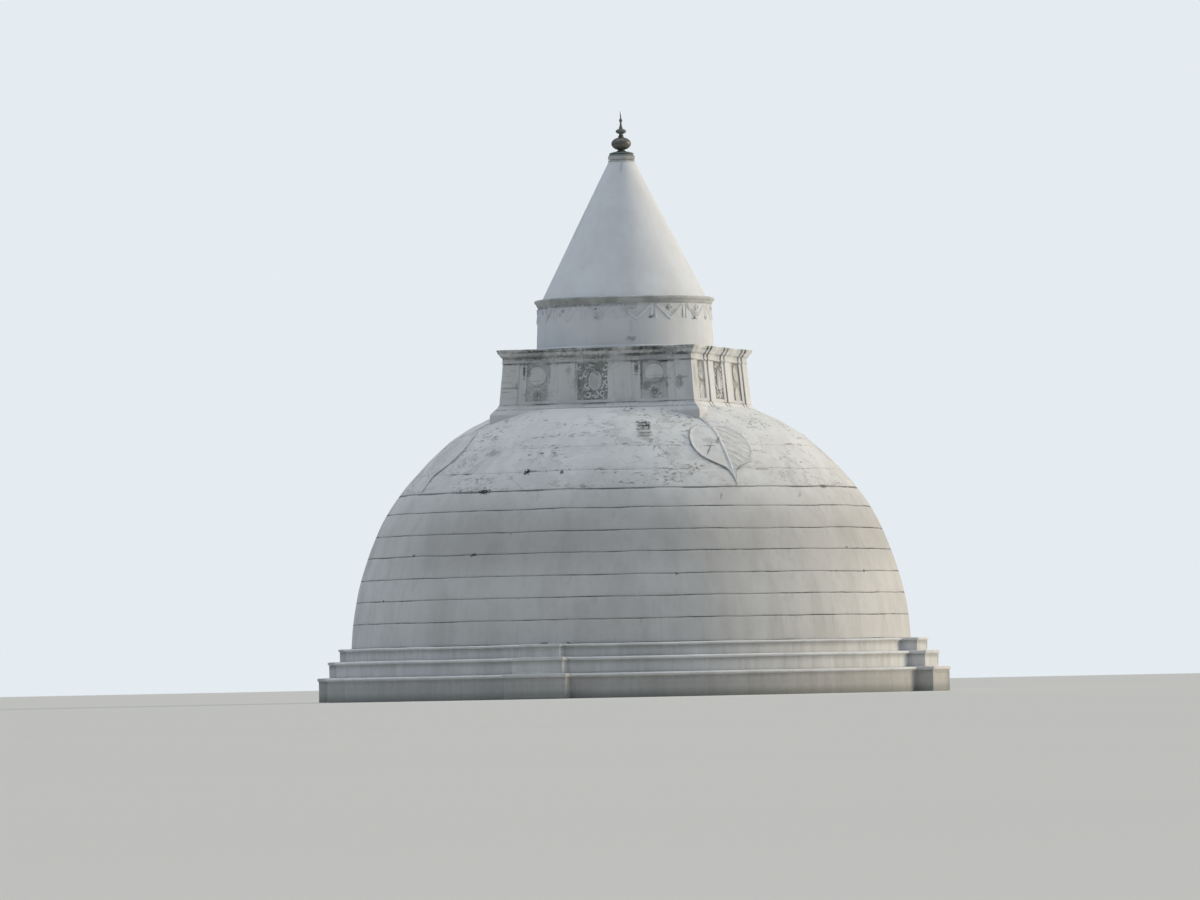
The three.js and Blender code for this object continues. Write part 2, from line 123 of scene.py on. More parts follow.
class DomeSizes(bpy.types.PropertyGroup):
    """Sizes of the terraces, the dome and its leaf reliefs."""

    radius: length("Dome radius", "Half width of the dome's ellipse", 13.3)
    rise: length("Dome rise", "Half height of the dome's ellipse", 13.175)
    centre: length("Dome centre", "Height of the ellipse's centre above the ground", 2.1)
    crown_step: length("Crown step", "Height at which the dome leaves its ellipse", 12.3)
    shoulder_radius: length("Shoulder radius", "Where the dome begins to flatten", 7.3)
    shoulder_height: length("Shoulder height", "Height of the shoulder", 12.97)
    platform_radius: length("Platform radius", "Where the dome's top is flat", 5.9)
    joint_width: length("Joint width", "Rounding of the lifts at each joint", 0.022)
    waviness: length("Waviness", "How far the plaster strays from the true curve", 0.07)
    leaf_foot: length("Leaf foot", "Height of the tip of each leaf", 9.75)
    leaf_head: length("Leaf head", "Height of the lobes of each leaf", 12.625)
    leaf_width: length("Leaf width", "Width of each leaf across its lobes", 3.3)
    leaf_lean: angle("Leaf lean", "How far the front right leaf leans about its tip", 3.6)
    vein_spacing: length("Vein spacing", "Distance between the side veins along a leaf's midrib", 0.5)
    left_leaf_lean: angle("Left leaf lean", "How far the front left leaf leans the other way", 10)
    deep_joint: length("Deep joint", "Height of the deepest and darkest joint", 9.69)


class TowerSizes(bpy.types.PropertyGroup):
    """Sizes of the square tower."""

    wall_foot: length("Wall foot", "Height of the foot of the walls", 13.86)
    batter: length("Batter", "How far the walls spread towards their foot", 0.16)
    pier_width: length("Corner pier", "Width of each corner pier", 0.83)
    left_pilaster: length("Left pilaster", "Place of its left edge from the face's middle", -1.88)
    right_pilaster: length("Right pilaster", "Place of its left edge from the face's middle", 0.87)
    pilaster_width: length("Pilaster width", "Width of a pilaster", 0.81)
    ledge_width: length("Ledge width", "Width of the ledge between a panel and the wall", 0.4)
    recess: length("Panel recess", "Depth of the panels behind the pilasters", 0.13)
    break_depth: length("Moulding break", "How far mouldings break forward over the pilasters", 0.11)
    foot_break: length("Foot break", "The same at the plinth and the skirt", 0.05)
    disc_height: length("Disc height", "Height of the discs in the outer panels", 15.22)
    disc_radius: length("Disc radius", "Plain discs in the outer panels", 0.44)
    rosette_height: length("Rosette height", "Height of the rosettes below the discs", 14.3)
    rosette_radius: length("Rosette radius", "Rosettes below the discs", 0.25)
    oval_height: length("Oval height", "Height of the oval in the middle panel", 14.93)
    oval_half_width: length("Oval half width", "Oval boss in the middle panel", 0.32)
    oval_half_height: length("Oval half height", "Oval boss in the middle panel", 0.47)


class SpireSizes(bpy.types.PropertyGroup):
    """Sizes of the drum, the cone and the pinnacle."""

    bays: bpy.props.IntProperty(
        name="Garland bays", description="Swags round the drum", default=15, min=3
    )
    garland_turn: angle("Garland turn", "Direction of the first medallion from the front face", 0.4)
    swag_drop: length("Swag drop", "Lowest point of a swag below its head", 0.62)
    drum_head: length("Drum head", "Radius of the drum below its cornice", 4.12)
    cone_head: length("Cone head", "Radius of the cone at its top", 0.62)
    orb_radius: length("Great orb", "Radius of the great orb", 0.46865)
    orb_height: length("Great orb's place", "Height of the great orb's middle", 26.34)
    small_orb_radius: length("Small orb", "Radius of the small orb", 0.252)
    small_orb_height: length("Small orb's place", "Height of the small orb's middle", 26.93)


class Finishes(bpy.types.PropertyGroup):
    """Colours of the plaster, the stains, the metal and the stage."""

    # Grime and soot also serve as painted shade. Fresh wash also serves as a paler paint that offsets
    # the warm key on the tower's sunny face. Whitewash also serves as painted highlight on the leaf
    # veins and the middle panel's foliage.
    whitewash: tint("Whitewash", "Clean lime wash", 232, 233, 233)
    fresh_wash: tint("Fresh whitewash", "Newer lime wash of the cone and the drum", 231, 235, 240)
    old_wash: tint("Old whitewash", "Lime wash that has weathered", 211, 212, 211)
    grime: tint("Grime", "Thin grey grime in the wash", 153, 151, 147)
    soot: tint("Soot", "Black growth in joints and cracks", 38, 40, 38)
    lichen: tint("Lichen", "Grey green growth on the mouldings", 88, 100, 92)
    bare_mortar: tint("Bare mortar", "Mortar where the wash has gone", 138, 131, 120)
    brass: tint("Brass", "Weathered brass of the pinnacle", 134, 118, 108)
    tarnish: tint("Tarnish", "Dark tarnish on the brass", 72, 67, 62)
    patina: tint("Patina", "Grey green patina on the brass", 112, 126, 124)
    floor: tint("Floor", "Plain floor", 220, 218, 212)
    sky: tint("Backdrop", "What the camera sees behind the part", 229, 236, 241)
    top_light: tint("Top light", "Soft light from above", 244, 250, 255)
    side_light: tint("Side light", "Faint cool light from all round", 14, 32, 50)
    sun: tint("Key light", "Warm light from the right", 255, 238, 210)
    rim: tint("Rim light", "Faint cool light from the left", 225, 238, 255)


class StageSettings(bpy.types.PropertyGroup):
    """Camera and light."""

    view_azimuth: angle("View azimuth", "Where the camera stands, from the front towards +X", 17.1)
    view_distance: length("View distance", "Distance from the axis to the camera", 428.4)
    eye_height: length("Eye height", "Height of the camera", 0.85)
    fill_strength: number("Fill strength", "Strength of the fill", 1.9)
    sun_strength: number("Key strength", "Strength of the key", 2.08)
    sun_azimuth: angle("Key azimuth", "Where the key comes from, from the front towards +X", 120)
    sun_height: angle("Key height", "How high the key stands", 14)
    rim_strength: number("Rim strength", "Strength of the rim light", 0.2)
    rim_azimuth: angle("Rim azimuth", "Where the rim comes from, from the front towards +X", -92)
    rim_height: angle("Rim height", "How high the rim light stands", 16)
    light_spread: angle("Light spread", "How wide the key and the rim light look from the part", 20)
    camera_roll: angle("Camera roll", "How far the camera leans", -1.15)
    lens_length: number("Lens", "Focal length in millimetres", 270)
    floor_radius: length("Floor radius", "Radius of the floor", 900)


def only(piece):
    """Selects one piece and makes it the active one."""
    bpy.ops.object.select_all(action="DESELECT")
    piece.select_set(True)
    bpy.context.view_layer.objects.active = piece


def named(piece, name):
    piece.name = name
    piece.data.name = name
    return piece


def added(name):
    """Names the primitive that was just added, with its place applied."""
    piece = bpy.context.active_object
    only(piece)
    bpy.ops.object.transform_apply(location=True, rotation=True, scale=True)
    return named(piece, name)


@contextmanager
def shaping(piece):
    """Edit mode on one piece."""
    only(piece)
    bpy.ops.object.mode_set(mode="EDIT")
    yield bmesh.from_edit_mesh(piece.data)
    bpy.ops.object.mode_set(mode="OBJECT")


def pick(piece, kind, test):
    """Selects the verts, edges or faces of a piece in edit mode that pass a test, and nothing else."""
    modes = {"verts": "VERT", "edges": "EDGE", "faces": "FACE"}
    bpy.ops.mesh.select_mode(type=modes[kind])
    bpy.ops.mesh.select_all(action="DESELECT")
    mesh = bmesh.from_edit_mesh(piece.data)
    for part in getattr(mesh, kind):
        if test(part):
            part.select_set(True)
    mesh.select_flush_mode()
    bmesh.update_edit_mesh(piece.data)


def modify(piece, kind, **settings):
    """Adds a modifier and applies it."""
    only(piece)
    modifier = piece.modifiers.new(kind, kind)
    for name, value in settings.items():
        setattr(modifier, name, value)
    bpy.ops.object.modifier_apply(modifier=modifier.name)


def soften(piece, width, segments=2, angle=30):
    """Rounds the edges that are sharper than an angle."""
    modify(
        piece,
        "BEVEL",
        width=width,
        segments=segments,
        limit_method="ANGLE",
        angle_limit=math.radians(angle),
        use_clamp_overlap=True,
    )


def refine(piece, levels):
    """Divides every face without moving it."""
    modify(piece, "SUBSURF", subdivision_type="SIMPLE", levels=levels, render_levels=levels)


def uneven(piece, strength, wave):
    """Moves the surface a little, the same at the same place on every piece."""
    cloud = bpy.data.textures.new("plaster_unevenness", "CLOUDS")
    cloud.cloud_type = "COLOR"
    cloud.noise_scale = wave
    cloud.noise_depth = 2
    modify(
        piece,
        "DISPLACE",
        texture=cloud,
        texture_coords="LOCAL",
        direction="RGB_TO_XYZ",
        strength=strength,
        mid_level=0.5,
    )
    bpy.data.textures.remove(cloud)


def spread(start, end, steps):
    """Evenly spaced values, with both ends."""
    return [start + (end - start) * k / steps for k in range(steps + 1)]


def around(radius, height, offsets):
    """Part of a profile, as (radius, height) pairs, from its offsets to one radius and one height."""
    return [(radius + out, height + up) for out, up in offsets]


def note(piece, name, values):
    """Keeps a number at each vertex of a piece for its material."""
    layer = piece.data.attributes.new(name, "FLOAT", "POINT")
    layer.data.foreach_set("value", list(values))


def along_face(point):
    """How far to the right of its face's middle a point of a square piece lies."""
    if abs(point.x) < abs(point.y):
        return point.x if point.y < 0 else -point.x
    return point.y if point.x > 0 else -point.y


def note_bays(piece):
    note(piece, "bay", [along_face(v.co) for v in piece.data.vertices])


def proud_spans(step):
    """The parts of a face that stand proud, as (start, end): both piers and both pilasters.

    Step 1 is the ledge and step 2 the wall.
    """
    sizes = bpy.context.scene.tower_sizes
    wider = sizes.ledge_width if step == 1 else 0
    pier = half_of("pier_front_right") - sizes.pier_width
    spans = [(-BEYOND, wider - pier), (pier - wider, BEYOND)]
    for left in (sizes.left_pilaster, sizes.right_pilaster):
        spans.append((left - wider, left + sizes.pilaster_width + wider))
    return spans


def finish(piece, material, slot, *nodes, angle=40):
    """Ends a piece: normals, shading, material, and what it stands for in the frame."""
    with shaping(piece):
        bpy.ops.mesh.select_mode(type="VERT")
        bpy.ops.mesh.select_all(action="SELECT")
        bpy.ops.mesh.normals_make_consistent(inside=False)
    only(piece)
    bpy.ops.object.shade_smooth_by_angle(angle=math.radians(angle))
    piece.data.materials.clear()
    piece.data.materials.append(material)
    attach(piece, "root")
    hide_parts(*nodes)


def turned(name, profile, sides=ROUND_SIDES):
    """A profile of (radius, height) pairs, from the foot to the top, turned round the axis."""
    radius, height = profile[0]
    bpy.ops.mesh.primitive_circle_add(
        vertices=sides, radius=radius, fill_type="NGON", location=(0, 0, height)
    )
    piece = added(name)
    with shaping(piece):
        bpy.ops.mesh.select_mode(type="FACE")
        bpy.ops.mesh.select_all(action="SELECT")
        for next_radius, next_height in profile[1:]:
            rise = {"value": (0, 0, next_height - height)}
            bpy.ops.mesh.extrude_region_move(TRANSFORM_OT_translate=rise)
            if next_radius == 0:
                bpy.ops.mesh.merge(type="CENTER")
                break
            share = next_radius / radius
            bpy.ops.transform.resize(value=(share, share, 1), center_override=(0, 0, next_height))
            radius, height = next_radius, next_height
    return piece


def half_at(profile, height):
    """Half of a moulding's side at a height."""
    for (half, low), (next_half, high) in zip(profile, profile[1:]):
        if height <= high:
            share = max(height - low, 0) / max(high - low, 1e-6)
            return half + (next_half - half) * share
    return profile[-1][0]


def stepped(name, profile, recess):
    """A square moulding that breaks forward in two steps at the corner piers and the pilasters.

    The profile gives (half of the side, height) pairs from the foot to the top. Each point keeps
    its place along its face, and its depth behind the piers.
    """
    half, height = profile[0]
    wall = half - recess
    breaks = sorted(e for step in (1, 2) for span in proud_spans(step) for e in span if abs(e) < BEYOND)
    bpy.ops.mesh.primitive_plane_add(size=2 * wall, location=(0, 0, height))
    piece = added(name)
    with shaping(piece):
        for out in SIDES:
            across = Vector((-out.y, out.x, 0))
            for edge in breaks:
                bpy.ops.mesh.select_all(action="SELECT")
                bpy.ops.mesh.bisect(plane_co=across * edge, plane_no=across)
        for step in (1, 2):
            spans = proud_spans(step)
            level = wall + recess / 2 * (step - 1)
            for out in SIDES:

                def on_bay(edge):
                    at_level = all(abs(v.co.dot(out) - level) < TOUCH for v in edge.verts)
                    middle = along_face((edge.verts[0].co + edge.verts[1].co) / 2)
                    return edge.is_boundary and at_level and any(a < middle < b for a, b in spans)

                pick(piece, "edges", on_bay)
                bpy.ops.mesh.extrude_region_move(TRANSFORM_OT_translate={"value": out * recess / 2})
        bpy.ops.mesh.select_mode(type="FACE")
        bpy.ops.mesh.select_all(action="SELECT")
        for next_half, next_height in profile[1:]:
            rise = {"value": (0, 0, next_height - height)}
            bpy.ops.mesh.extrude_region_move(TRANSFORM_OT_translate=rise)
            mesh = bmesh.from_edit_mesh(piece.data)
            mesh.verts.ensure_lookup_table()
            ring = {v.index for v in mesh.verts if v.select}
            if next_half != half:
                for out in SIDES:
                    line = half - recess - TOUCH
                    pick(piece, "verts", lambda v: v.index in ring and v.co.dot(out) > line)
                    bpy.ops.transform.translate(value=out * (next_half - half))
                pick(piece, "verts", lambda v: v.index in ring)
                bpy.ops.mesh.select_mode(type="FACE")
            half, height = next_half, next_height
    points = [v.co for v in piece.data.vertices]
    note(piece, "depth", [half_at(profile, co.z) - max(abs(co.x), abs(co.y)) for co in points])
    note_bays(piece)
    return piece


def moulding(node, profile, recess, rounding, waves, wash, slot, angle=40):
    """A finished square moulding, made uneven by waves of (strength, length)."""
    piece = stepped(node + "_plaster", profile, recess)
    soften(piece, rounding)
    refine(piece, 1)
    for strength, wave in waves:
        uneven(piece, strength, wave)
    finish(piece, wash, slot, node, angle=angle)


def box(name, low, high):
    """A block between two corners, as a start for a piece."""
    low, high = Vector(low), Vector(high)
    bpy.ops.mesh.primitive_cube_add(size=1, location=(low + high) / 2, scale=high - low)
    return added(name)


def joined(name, parts):
    """Several meshes as one piece."""
    only(parts[0])
    for part in parts:
        part.select_set(True)
    bpy.ops.object.join()
    return named(parts[0], name)


def copied(piece, name, matrix):
    """A copy with its own mesh, turned or moved."""
    copy = piece.copy()
    copy.data = piece.data.copy()
    copy.data.transform(matrix)
    bpy.context.scene.collection.objects.link(copy)
    return named(copy, name)


def four_times(piece, places, suffix):
    """A piece and its copies at the next three places, anticlockwise."""
    piece.name = places[0] + suffix
    turns = [Matrix.Rotation(i * QUARTER_TURN, 4, "Z") for i in range(1, 4)]
    return [piece] + [copied(piece, place + suffix, turn) for place, turn in zip(places[1:], turns)]


def boss(name, x, z, radius, back, steps, stretch=1, sides=48):
    """A round boss on the front wall. Its steps are (inset, rise) pairs from the foot to the top."""
    bpy.ops.mesh.primitive_circle_add(
        vertices=sides,
        radius=radius,
        fill_type="NGON",
        location=(x, -back, z),
        rotation=(QUARTER_TURN, 0, 0),
    )
    piece = added(name)
    with shaping(piece):
        bpy.ops.mesh.select_mode(type="FACE")
        bpy.ops.mesh.select_all(action="SELECT")
        depth, size = back, radius
        for inset, rise in steps:
            bpy.ops.mesh.extrude_region_move(TRANSFORM_OT_translate={"value": FRONT * rise})
            share = (size - inset) / size
            depth, size = depth + rise, size - inset
            bpy.ops.transform.resize(value=(share, 1, share), center_override=(x, -depth, z))
        bpy.ops.mesh.select_all(action="SELECT")
        bpy.ops.transform.resize(value=(1, 1, stretch), center_override=(x, -back, z))
    return piece


def rope(name, points, radii):
    """A moulded strand on the front wall, along points of (x, depth, z), with a radius at each."""
    curve = bpy.data.curves.new(name, "CURVE")
    curve.dimensions = "3D"
    curve.bevel_depth = 1
    curve.bevel_resolution = 2
    curve.use_fill_caps = True
    spline = curve.splines.new("POLY")
    spline.points.add(len(points) - 1)
    for point, (x, depth, z), radius in zip(spline.points, points, radii):
        point.co = (x, -depth / ROPE_DEPTH, z, 1)
        point.radius = radius
    piece = bpy.data.objects.new(name, curve)
    bpy.context.scene.collection.objects.link(piece)
    only(piece)
    bpy.ops.object.convert(target="MESH")
    piece = bpy.context.active_object
    piece.scale = (1, ROPE_DEPTH, 1)
    return added(name)


class Wire:
    """A shader socket in an expression. Each operator adds its Math node."""

    def __init__(self, recipe, socket):
        self.recipe = recipe
        self.socket = socket

    def _math(self, operation, *operands):
        inputs = dict(enumerate(operands))
        return self.recipe.node("ShaderNodeMath", {"operation": operation}, inputs)

    def __add__(self, other):
        return self._math("ADD", self, other)

    def __radd__(self, other):
        return self._math("ADD", other, self)

    def __sub__(self, other):
        return self._math("SUBTRACT", self, other)

    def __rsub__(self, other):
        return self._math("SUBTRACT", other, self)

    def __mul__(self, other):
        return self._math("MULTIPLY", self, other)

    def __rmul__(self, other):
        return self._math("MULTIPLY", other, self)

    def __pow__(self, other):
        return self._math("POWER", self, other)

    def __abs__(self):
        return self._math("ABSOLUTE", self)

    def least(self, other):
        return self._math("MINIMUM", self, other)

    def most(self, other):
        return self._math("MAXIMUM", self, other)

    def zigzag(self, period):
        """Runs from 0 to 1 and back over each period."""
        return self._math("PINGPONG", self, period / 2) * (2 / period)

    def ramp(self, low, high):
        """0 below low and 1 above high, eased between them. low may be the larger."""
        return self.recipe.node(
            "ShaderNodeMapRange",
            {"interpolation_type": "SMOOTHSTEP"},
            {"Value": self, "From Min": low, "From Max": high},
        )


def colours():
    """The user's colours as plain tuples."""
    group = bpy.context.scene.finishes
    return {name: tuple(getattr(group, name)) for name in Finishes.__annotations__}


class Recipe:
    """The nodes of one material or world, and the colour laid on so far."""

    def __init__(self, name, world=False):
        self.owner = (bpy.data.worlds if world else bpy.data.materials).new(name)
        self.owner.use_nodes = True
        self.tree = self.owner.node_tree
        self.tree.nodes.clear()
        self.place = self.node("ShaderNodeTexCoord", output="Object")
        split = self.node("ShaderNodeSeparateXYZ", inputs={0: self.place}).socket.node
        self.across, self.back, self.up = (Wire(self, output) for output in split.outputs)
        self.paint = colours()
        self.colour = self.grit = None

    def node(self, kind, settings=None, inputs=None, output=0):
        made = self.tree.nodes.new(kind)
        for name, value in (settings or {}).items():
            setattr(made, name, value)
        for key, value in (inputs or {}).items():
            socket = made.inputs[key]
            if isinstance(value, Wire):
                self.tree.links.new(value.socket, socket)
            else:
                socket.default_value = value
        return Wire(self, made.outputs[output]) if made.outputs else None

    def stretched(self, scale, shift=(0, 0, 0)):
        inputs = {"Vector": self.place, "Scale": scale, "Location": shift}
        return self.node("ShaderNodeMapping", {"vector_type": "POINT"}, inputs)

    def noise(self, size, detail=5, rough=0.55, stretch=(1, 1, 1), shift=(0, 0, 0), distortion=0):
        """Cloudy variation between 0 and 1 whose features are about size across."""
        where = self.stretched(tuple(s / size for s in stretch), shift)
        inputs = {"Vector": where, "Scale": 1, "Detail": detail, "Roughness": rough}
        inputs["Distortion"] = distortion
        return self.node("ShaderNodeTexNoise", {"noise_dimensions": "3D"}, inputs)

    def attribute(self, name):
        return self.node("ShaderNodeAttribute", {"attribute_name": name}, output="Fac")

    def mix(self, under, over, share):
        """One colour laid over another, by a share."""
        inputs = {0: share}
        for slot, colour in ((6, under), (7, over)):
            inputs[slot] = colour if isinstance(colour, Wire) else (*colour, 1)
        return self.node("ShaderNodeMix", {"data_type": "RGBA", "clamp_factor": True}, inputs, output=2)

    def lay(self, paint, share):
        """Lays one of the user's colours on, by a share."""
        self.colour = self.mix(self.colour, self.paint[paint], share)

    def lay_blots(self, paint, blots, edge):
        """Lays a colour on in blots of (centre, reach, strength), with a ragged outline."""
        for centre, reach, strength in blots:
            self.lay(paint, self.spot(centre, reach, edge) * strength)

    def cracks(self, size, width):
        """Thin bent crack lines between cells of about size across."""
        inputs = {"Vector": self.place, "Scale": 2 / size, "Detail": 3}
        wander = self.node("ShaderNodeTexNoise", {"noise_dimensions": "3D"}, inputs, output="Color")
        bent = self.node(
            "ShaderNodeMix",
            {"data_type": "VECTOR", "factor_mode": "UNIFORM"},
            {0: 0.125, 4: self.place, 5: wander},
            output=1,
        )
        inputs = {"Vector": bent, "Scale": 1 / size}
        edge = self.node("ShaderNodeTexVoronoi", {"feature": "DISTANCE_TO_EDGE"}, inputs)
        return edge.ramp(width / size, 0)

    def cells(self, size):
        """A random shade for each patch of about size across."""
        inputs = {"Vector": self.place, "Scale": 1 / size}
        colour = self.node("ShaderNodeTexVoronoi", {"feature": "F1"}, inputs, output="Color")
        return self.node("ShaderNodeSeparateColor", {"mode": "RGB"}, {0: colour})

    def spot(self, centre, reach, edge):
        """A blot, 1 in its middle and 0 beyond its reach; edge is a noise that makes it ragged."""
        scale = tuple(1 / r for r in reach)
        shift = tuple(-c * s for c, s in zip(centre, scale))
        inputs = {0: self.stretched(scale, shift)}
        away = self.node("ShaderNodeVectorMath", {"operation": "LENGTH"}, inputs, output="Value")
        if self.grit is None:
            self.grit = self.noise(0.07, detail=4, rough=0.75)
        return (away + (edge - 0.5) * 2.6 + (self.grit - 0.5) * 3).ramp(1.15, 0.6)

    def bump(self, height, distance, strength):
        inputs = {"Height": height, "Distance": distance, "Strength": strength}
        return self.node("ShaderNodeBump", {}, inputs)

    def surface(self, roughness, normal, shine, metallic=0.0):
        """Ends the recipe in a Principled shader and gives the material."""
        inputs = {"Base Color": self.colour, "Roughness": roughness, "Normal": normal}
        inputs.update({"Specular IOR Level": shine, "Metallic": metallic})
        shader = self.node("ShaderNodeBsdfPrincipled", {}, inputs)
        self.node("ShaderNodeOutputMaterial", {}, {"Surface": shader})
        return self.owner


class Plaster(Recipe):
    """Lime wash with soft mottling and faint upright streaks; age 0 is fresh, 1 is old."""

    def __init__(self, name, age, wash="whitewash"):
        super().__init__(name)
        self.cloud = self.noise(2.4, detail=6)
        self.fine = self.noise(0.35, detail=6, rough=0.6)
        broad = self.noise(0.9, detail=2, stretch=(1, 1, 0.08), shift=(2, 2, 2))
        streak = self.noise(0.22, detail=4, stretch=(1, 1, 0.07))
        runs = self.noise(3.1, detail=2, shift=(5, 3, 1))
        self.colour = self.paint[wash]
        self.lay("old_wash", self.cloud.ramp(0.35, 0.68) * (0.3 + 0.5 * age))
        self.lay("grime", broad.ramp(0.4, 0.68) * (0.06 + 0.16 * age))
        self.lay("grime", self.fine.ramp(0.5, 0.78) * (0.06 + 0.14 * age))
        self.lay("grime", streak.ramp(0.5, 0.72) * runs.ramp(0.4, 0.62) * 0.3 * age)

    def finished(self, roughness=0.87, gloss_range=0.08, depth=0.012, shine=0.2, lines=None):
        """The material, with trowel marks and grain of some depth, and raised lines if there are any."""
        cloud = self.cloud if lines is None else self.cloud + lines * 2
        grain = self.noise(0.05, detail=4, rough=0.65)
        height = cloud * 0.8 + self.fine * 0.35 + grain * 0.12
        return self.surface(roughness + self.fine * gloss_range, self.bump(height, depth, 0.7), shine)


def terrace_plaster(name):
    """Wash on the terraces: clean nosings, grime on the risers, and just below each nosing a darker band
    of grime with painted shade of the nosing.
    """
    wash = Plaster(name, 0.5)
    below = wash.attribute("below_nosing")
    small = wash.noise(0.2, detail=5, rough=0.7)
    riser = below.ramp(0, 0.03)
    drip = wash.noise(0.3, detail=4, stretch=(1, 1, 0.1))
    wash.lay("grime", riser * (0.02 + 0.14 * drip.ramp(0.4, 0.65)))
    # Painted shade with grime: a dark band just below each nosing.
    dark_share = riser * (below + (small - 0.5) * 0.15).ramp(0.3, 0.0)
    wash.lay("soot", dark_share * 0.34)
    foot = wash.up + (small - 0.5) * 0.3
    wash.lay("grime", foot.ramp(1.3, 0.6) * 0.55)
    wash.lay("lichen", foot.ramp(0.5, 0.1) * 0.4)
    return wash.finished()


def cone_plaster(name):
    """Fresh wash on the cone, with one faint stain below the collar."""
    wash = Plaster(name, 0.08, "fresh_wash")
    ragged = wash.noise(0.3, detail=4)
    stain = wash.spot((0.21, -0.7, 25.2), (0.05, 0.5, 0.5), ragged)
    wash.lay("grime", stain * 0.3)
    return wash.finished(0.86, shine=0.25)


def dome_plaster(name, age, worn=False, blots=()):
    """Wash on the dome's lifts, painted darker towards the bottom as shade, with thin black joints of
    soot and painted shade, blots, and flecks where it is worn.
    """
    wash = Plaster(name, age)
    above, below = wash.attribute("above_joint"), wash.attribute("below_joint")
    joint = above.least(below)
    ragged = wash.noise(0.22, detail=5, rough=0.7)
    gaps = wash.noise(1.9, detail=3, shift=(1, 9, 2))
    # Painted shade: the dome is darker towards the bottom, where its skin turns away from the light
    # above, and a little lighter again near its foot. It is weaker at the far left and towards the
    # right.
    shade_gradient = wash.up.ramp(11.6, 7.4) * 0.5 - wash.up.ramp(7.2, 5.0) * 0.26
    sides = (0.4 + 0.6 * wash.across.ramp(-10.5, -5)) * (1.06 - 0.2 * wash.across.ramp(-2, 6))
    wash.lay("grime", shade_gradient * sides)
    # Soot with painted shade: a dark line at each joint, where the groove under the lift above lies in
    # shade. The deep joint gets a darker one.
    line = (joint + (ragged - 0.5) * 0.03).ramp(0.036, 0.01)
    wander = (ragged - 0.5) * 0.05 + (gaps - 0.5) * 0.12
    deep = abs(wash.up - bpy.context.scene.dome_sizes.deep_joint + wander).ramp(0.042, 0.014)
    blot_place = wash.noise(0.8, detail=4, rough=0.6, shift=(4, 4, 8))
    blot = joint.ramp(0.13, 0.03) * blot_place.ramp(0.655, 0.71)
    run = wash.noise(0.2, detail=3, stretch=(1, 1, 0.05))
    runs = below.ramp(0.6, 0.0) * run.ramp(0.52, 0.72) * gaps.ramp(0.4, 0.65)
    wash.lay("grime", runs * 0.3)
    if worn:
        dashes = ragged.ramp(0.5, 0.62) * gaps.ramp(0.42, 0.55)
        wash.lay("soot", line * dashes * 0.7)
        crown_wear(wash, ragged)
    else:
        wash.lay("soot", line * (0.36 + 0.44 * gaps.ramp(0.4, 0.65)))
    wash.lay("soot", deep * (0.34 + 0.36 * gaps.ramp(0.35, 0.6)))
    wash.lay("soot", blot * 0.8)
    wash.lay_blots("soot", blots, ragged)
    return wash.finished(depth=0.014)


def crown_wear(wash, ragged):
    """Lays on rows of dark flecks, peeled patches, hair cracks and one square patch of courses."""
    rows = wash.noise(0.42, detail=2, stretch=(0.1, 0.1, 1), shift=(3, 3, 3)).ramp(0.46, 0.55)
    speck = wash.noise(0.15, detail=5, rough=0.75, stretch=(0.55, 0.55, 1.5))
    region = wash.noise(1.5, detail=3)
    busy = wash.spot((4.7, -8.2, 11.4), (1.5, 1.5, 0.7), region)
    busy = busy.most(wash.spot((0.4, -8.6, 12.1), (2.2, 1.2, 0.5), region))
    calm = wash.spot((-5.6, -8.0, 10.8), (1.7, 2.3, 1.6), region).most(
        wash.spot((8.5, -4.4, 11.9), (1.1, 2.6, 1.6), region)
    )
    flecks = speck.ramp(0.53, 0.61) * rows * region.ramp(0.46, 0.57).most(busy * 0.85)
    flecks = flecks * (1 - calm * 0.85)
    loose = speck.ramp(0.65, 0.7) * region.ramp(0.4, 0.54) * (1 - calm * 0.6)
    smudge = wash.noise(0.7, detail=6, rough=0.65, stretch=(0.5, 0.5, 1.6), shift=(7, 7, 7))
    smudge = smudge.ramp(0.6, 0.72)
    peel = wash.noise(0.6, detail=6, rough=0.6, distortion=0.6, stretch=(0.8, 0.8, 1.2))
    zones = wash.noise(2.2, detail=2, shift=(8, 2, 6)).ramp(0.48, 0.58)
    scar = abs(peel - 0.55).ramp(0.016, 0.0) * zones
    crack = wash.cracks(1.3, 0.016) * wash.noise(1.1, detail=3, shift=(6, 1, 3)).ramp(0.53, 0.6)
    wash.lay("old_wash", wash.cells(1.5).ramp(0.45, 0.5) * 0.25)
    fresh = wash.noise(1.2, detail=4, shift=(4, 9, 1)).ramp(0.5, 0.62)
    wash.lay("whitewash", fresh * 0.5)
    wash.lay("grime", peel.ramp(0.56, 0.6) * zones * 0.24)
    wash.lay("grime", scar * 0.75)
    wash.lay("soot", crack * 0.34)
    wash.lay("grime", smudge * 0.6)
    wash.lay("soot", flecks.most(loose) * 0.64)
    bare_patch(wash, ragged)


def bare_patch(wash, ragged):
    """Lays on a square patch below the tower where the mortar and its courses show."""
    azimuth, height, half_wide, half_tall = math.radians(22.7), 12.48, 0.3, 0.38
    beside = wash.across * math.cos(azimuth) + wash.back * math.sin(azimuth)
    above = wash.up - height
    edge = (ragged - 0.5) * 0.5
    wide = (abs(beside) + edge).ramp(half_wide + 0.08, half_wide - 0.08)
    tall = (abs(above) + edge).ramp(half_tall + 0.08, half_tall - 0.08)
    patch = wide * tall * wash.back.ramp(0, -1)
    course = (wash.up + (ragged - 0.5) * 0.08).zigzag(0.17).ramp(0.35, 0.7)
    bricks = wash.noise(0.16, detail=4, rough=0.8).ramp(0.44, 0.56)
    high = above.ramp(-0.08, 0.12)
    wash.lay("bare_mortar", patch * 0.3)
    wash.lay("grime", patch * course * 0.6)
    wash.lay("soot", patch * bricks * high.most(course * 0.35) * 0.95)


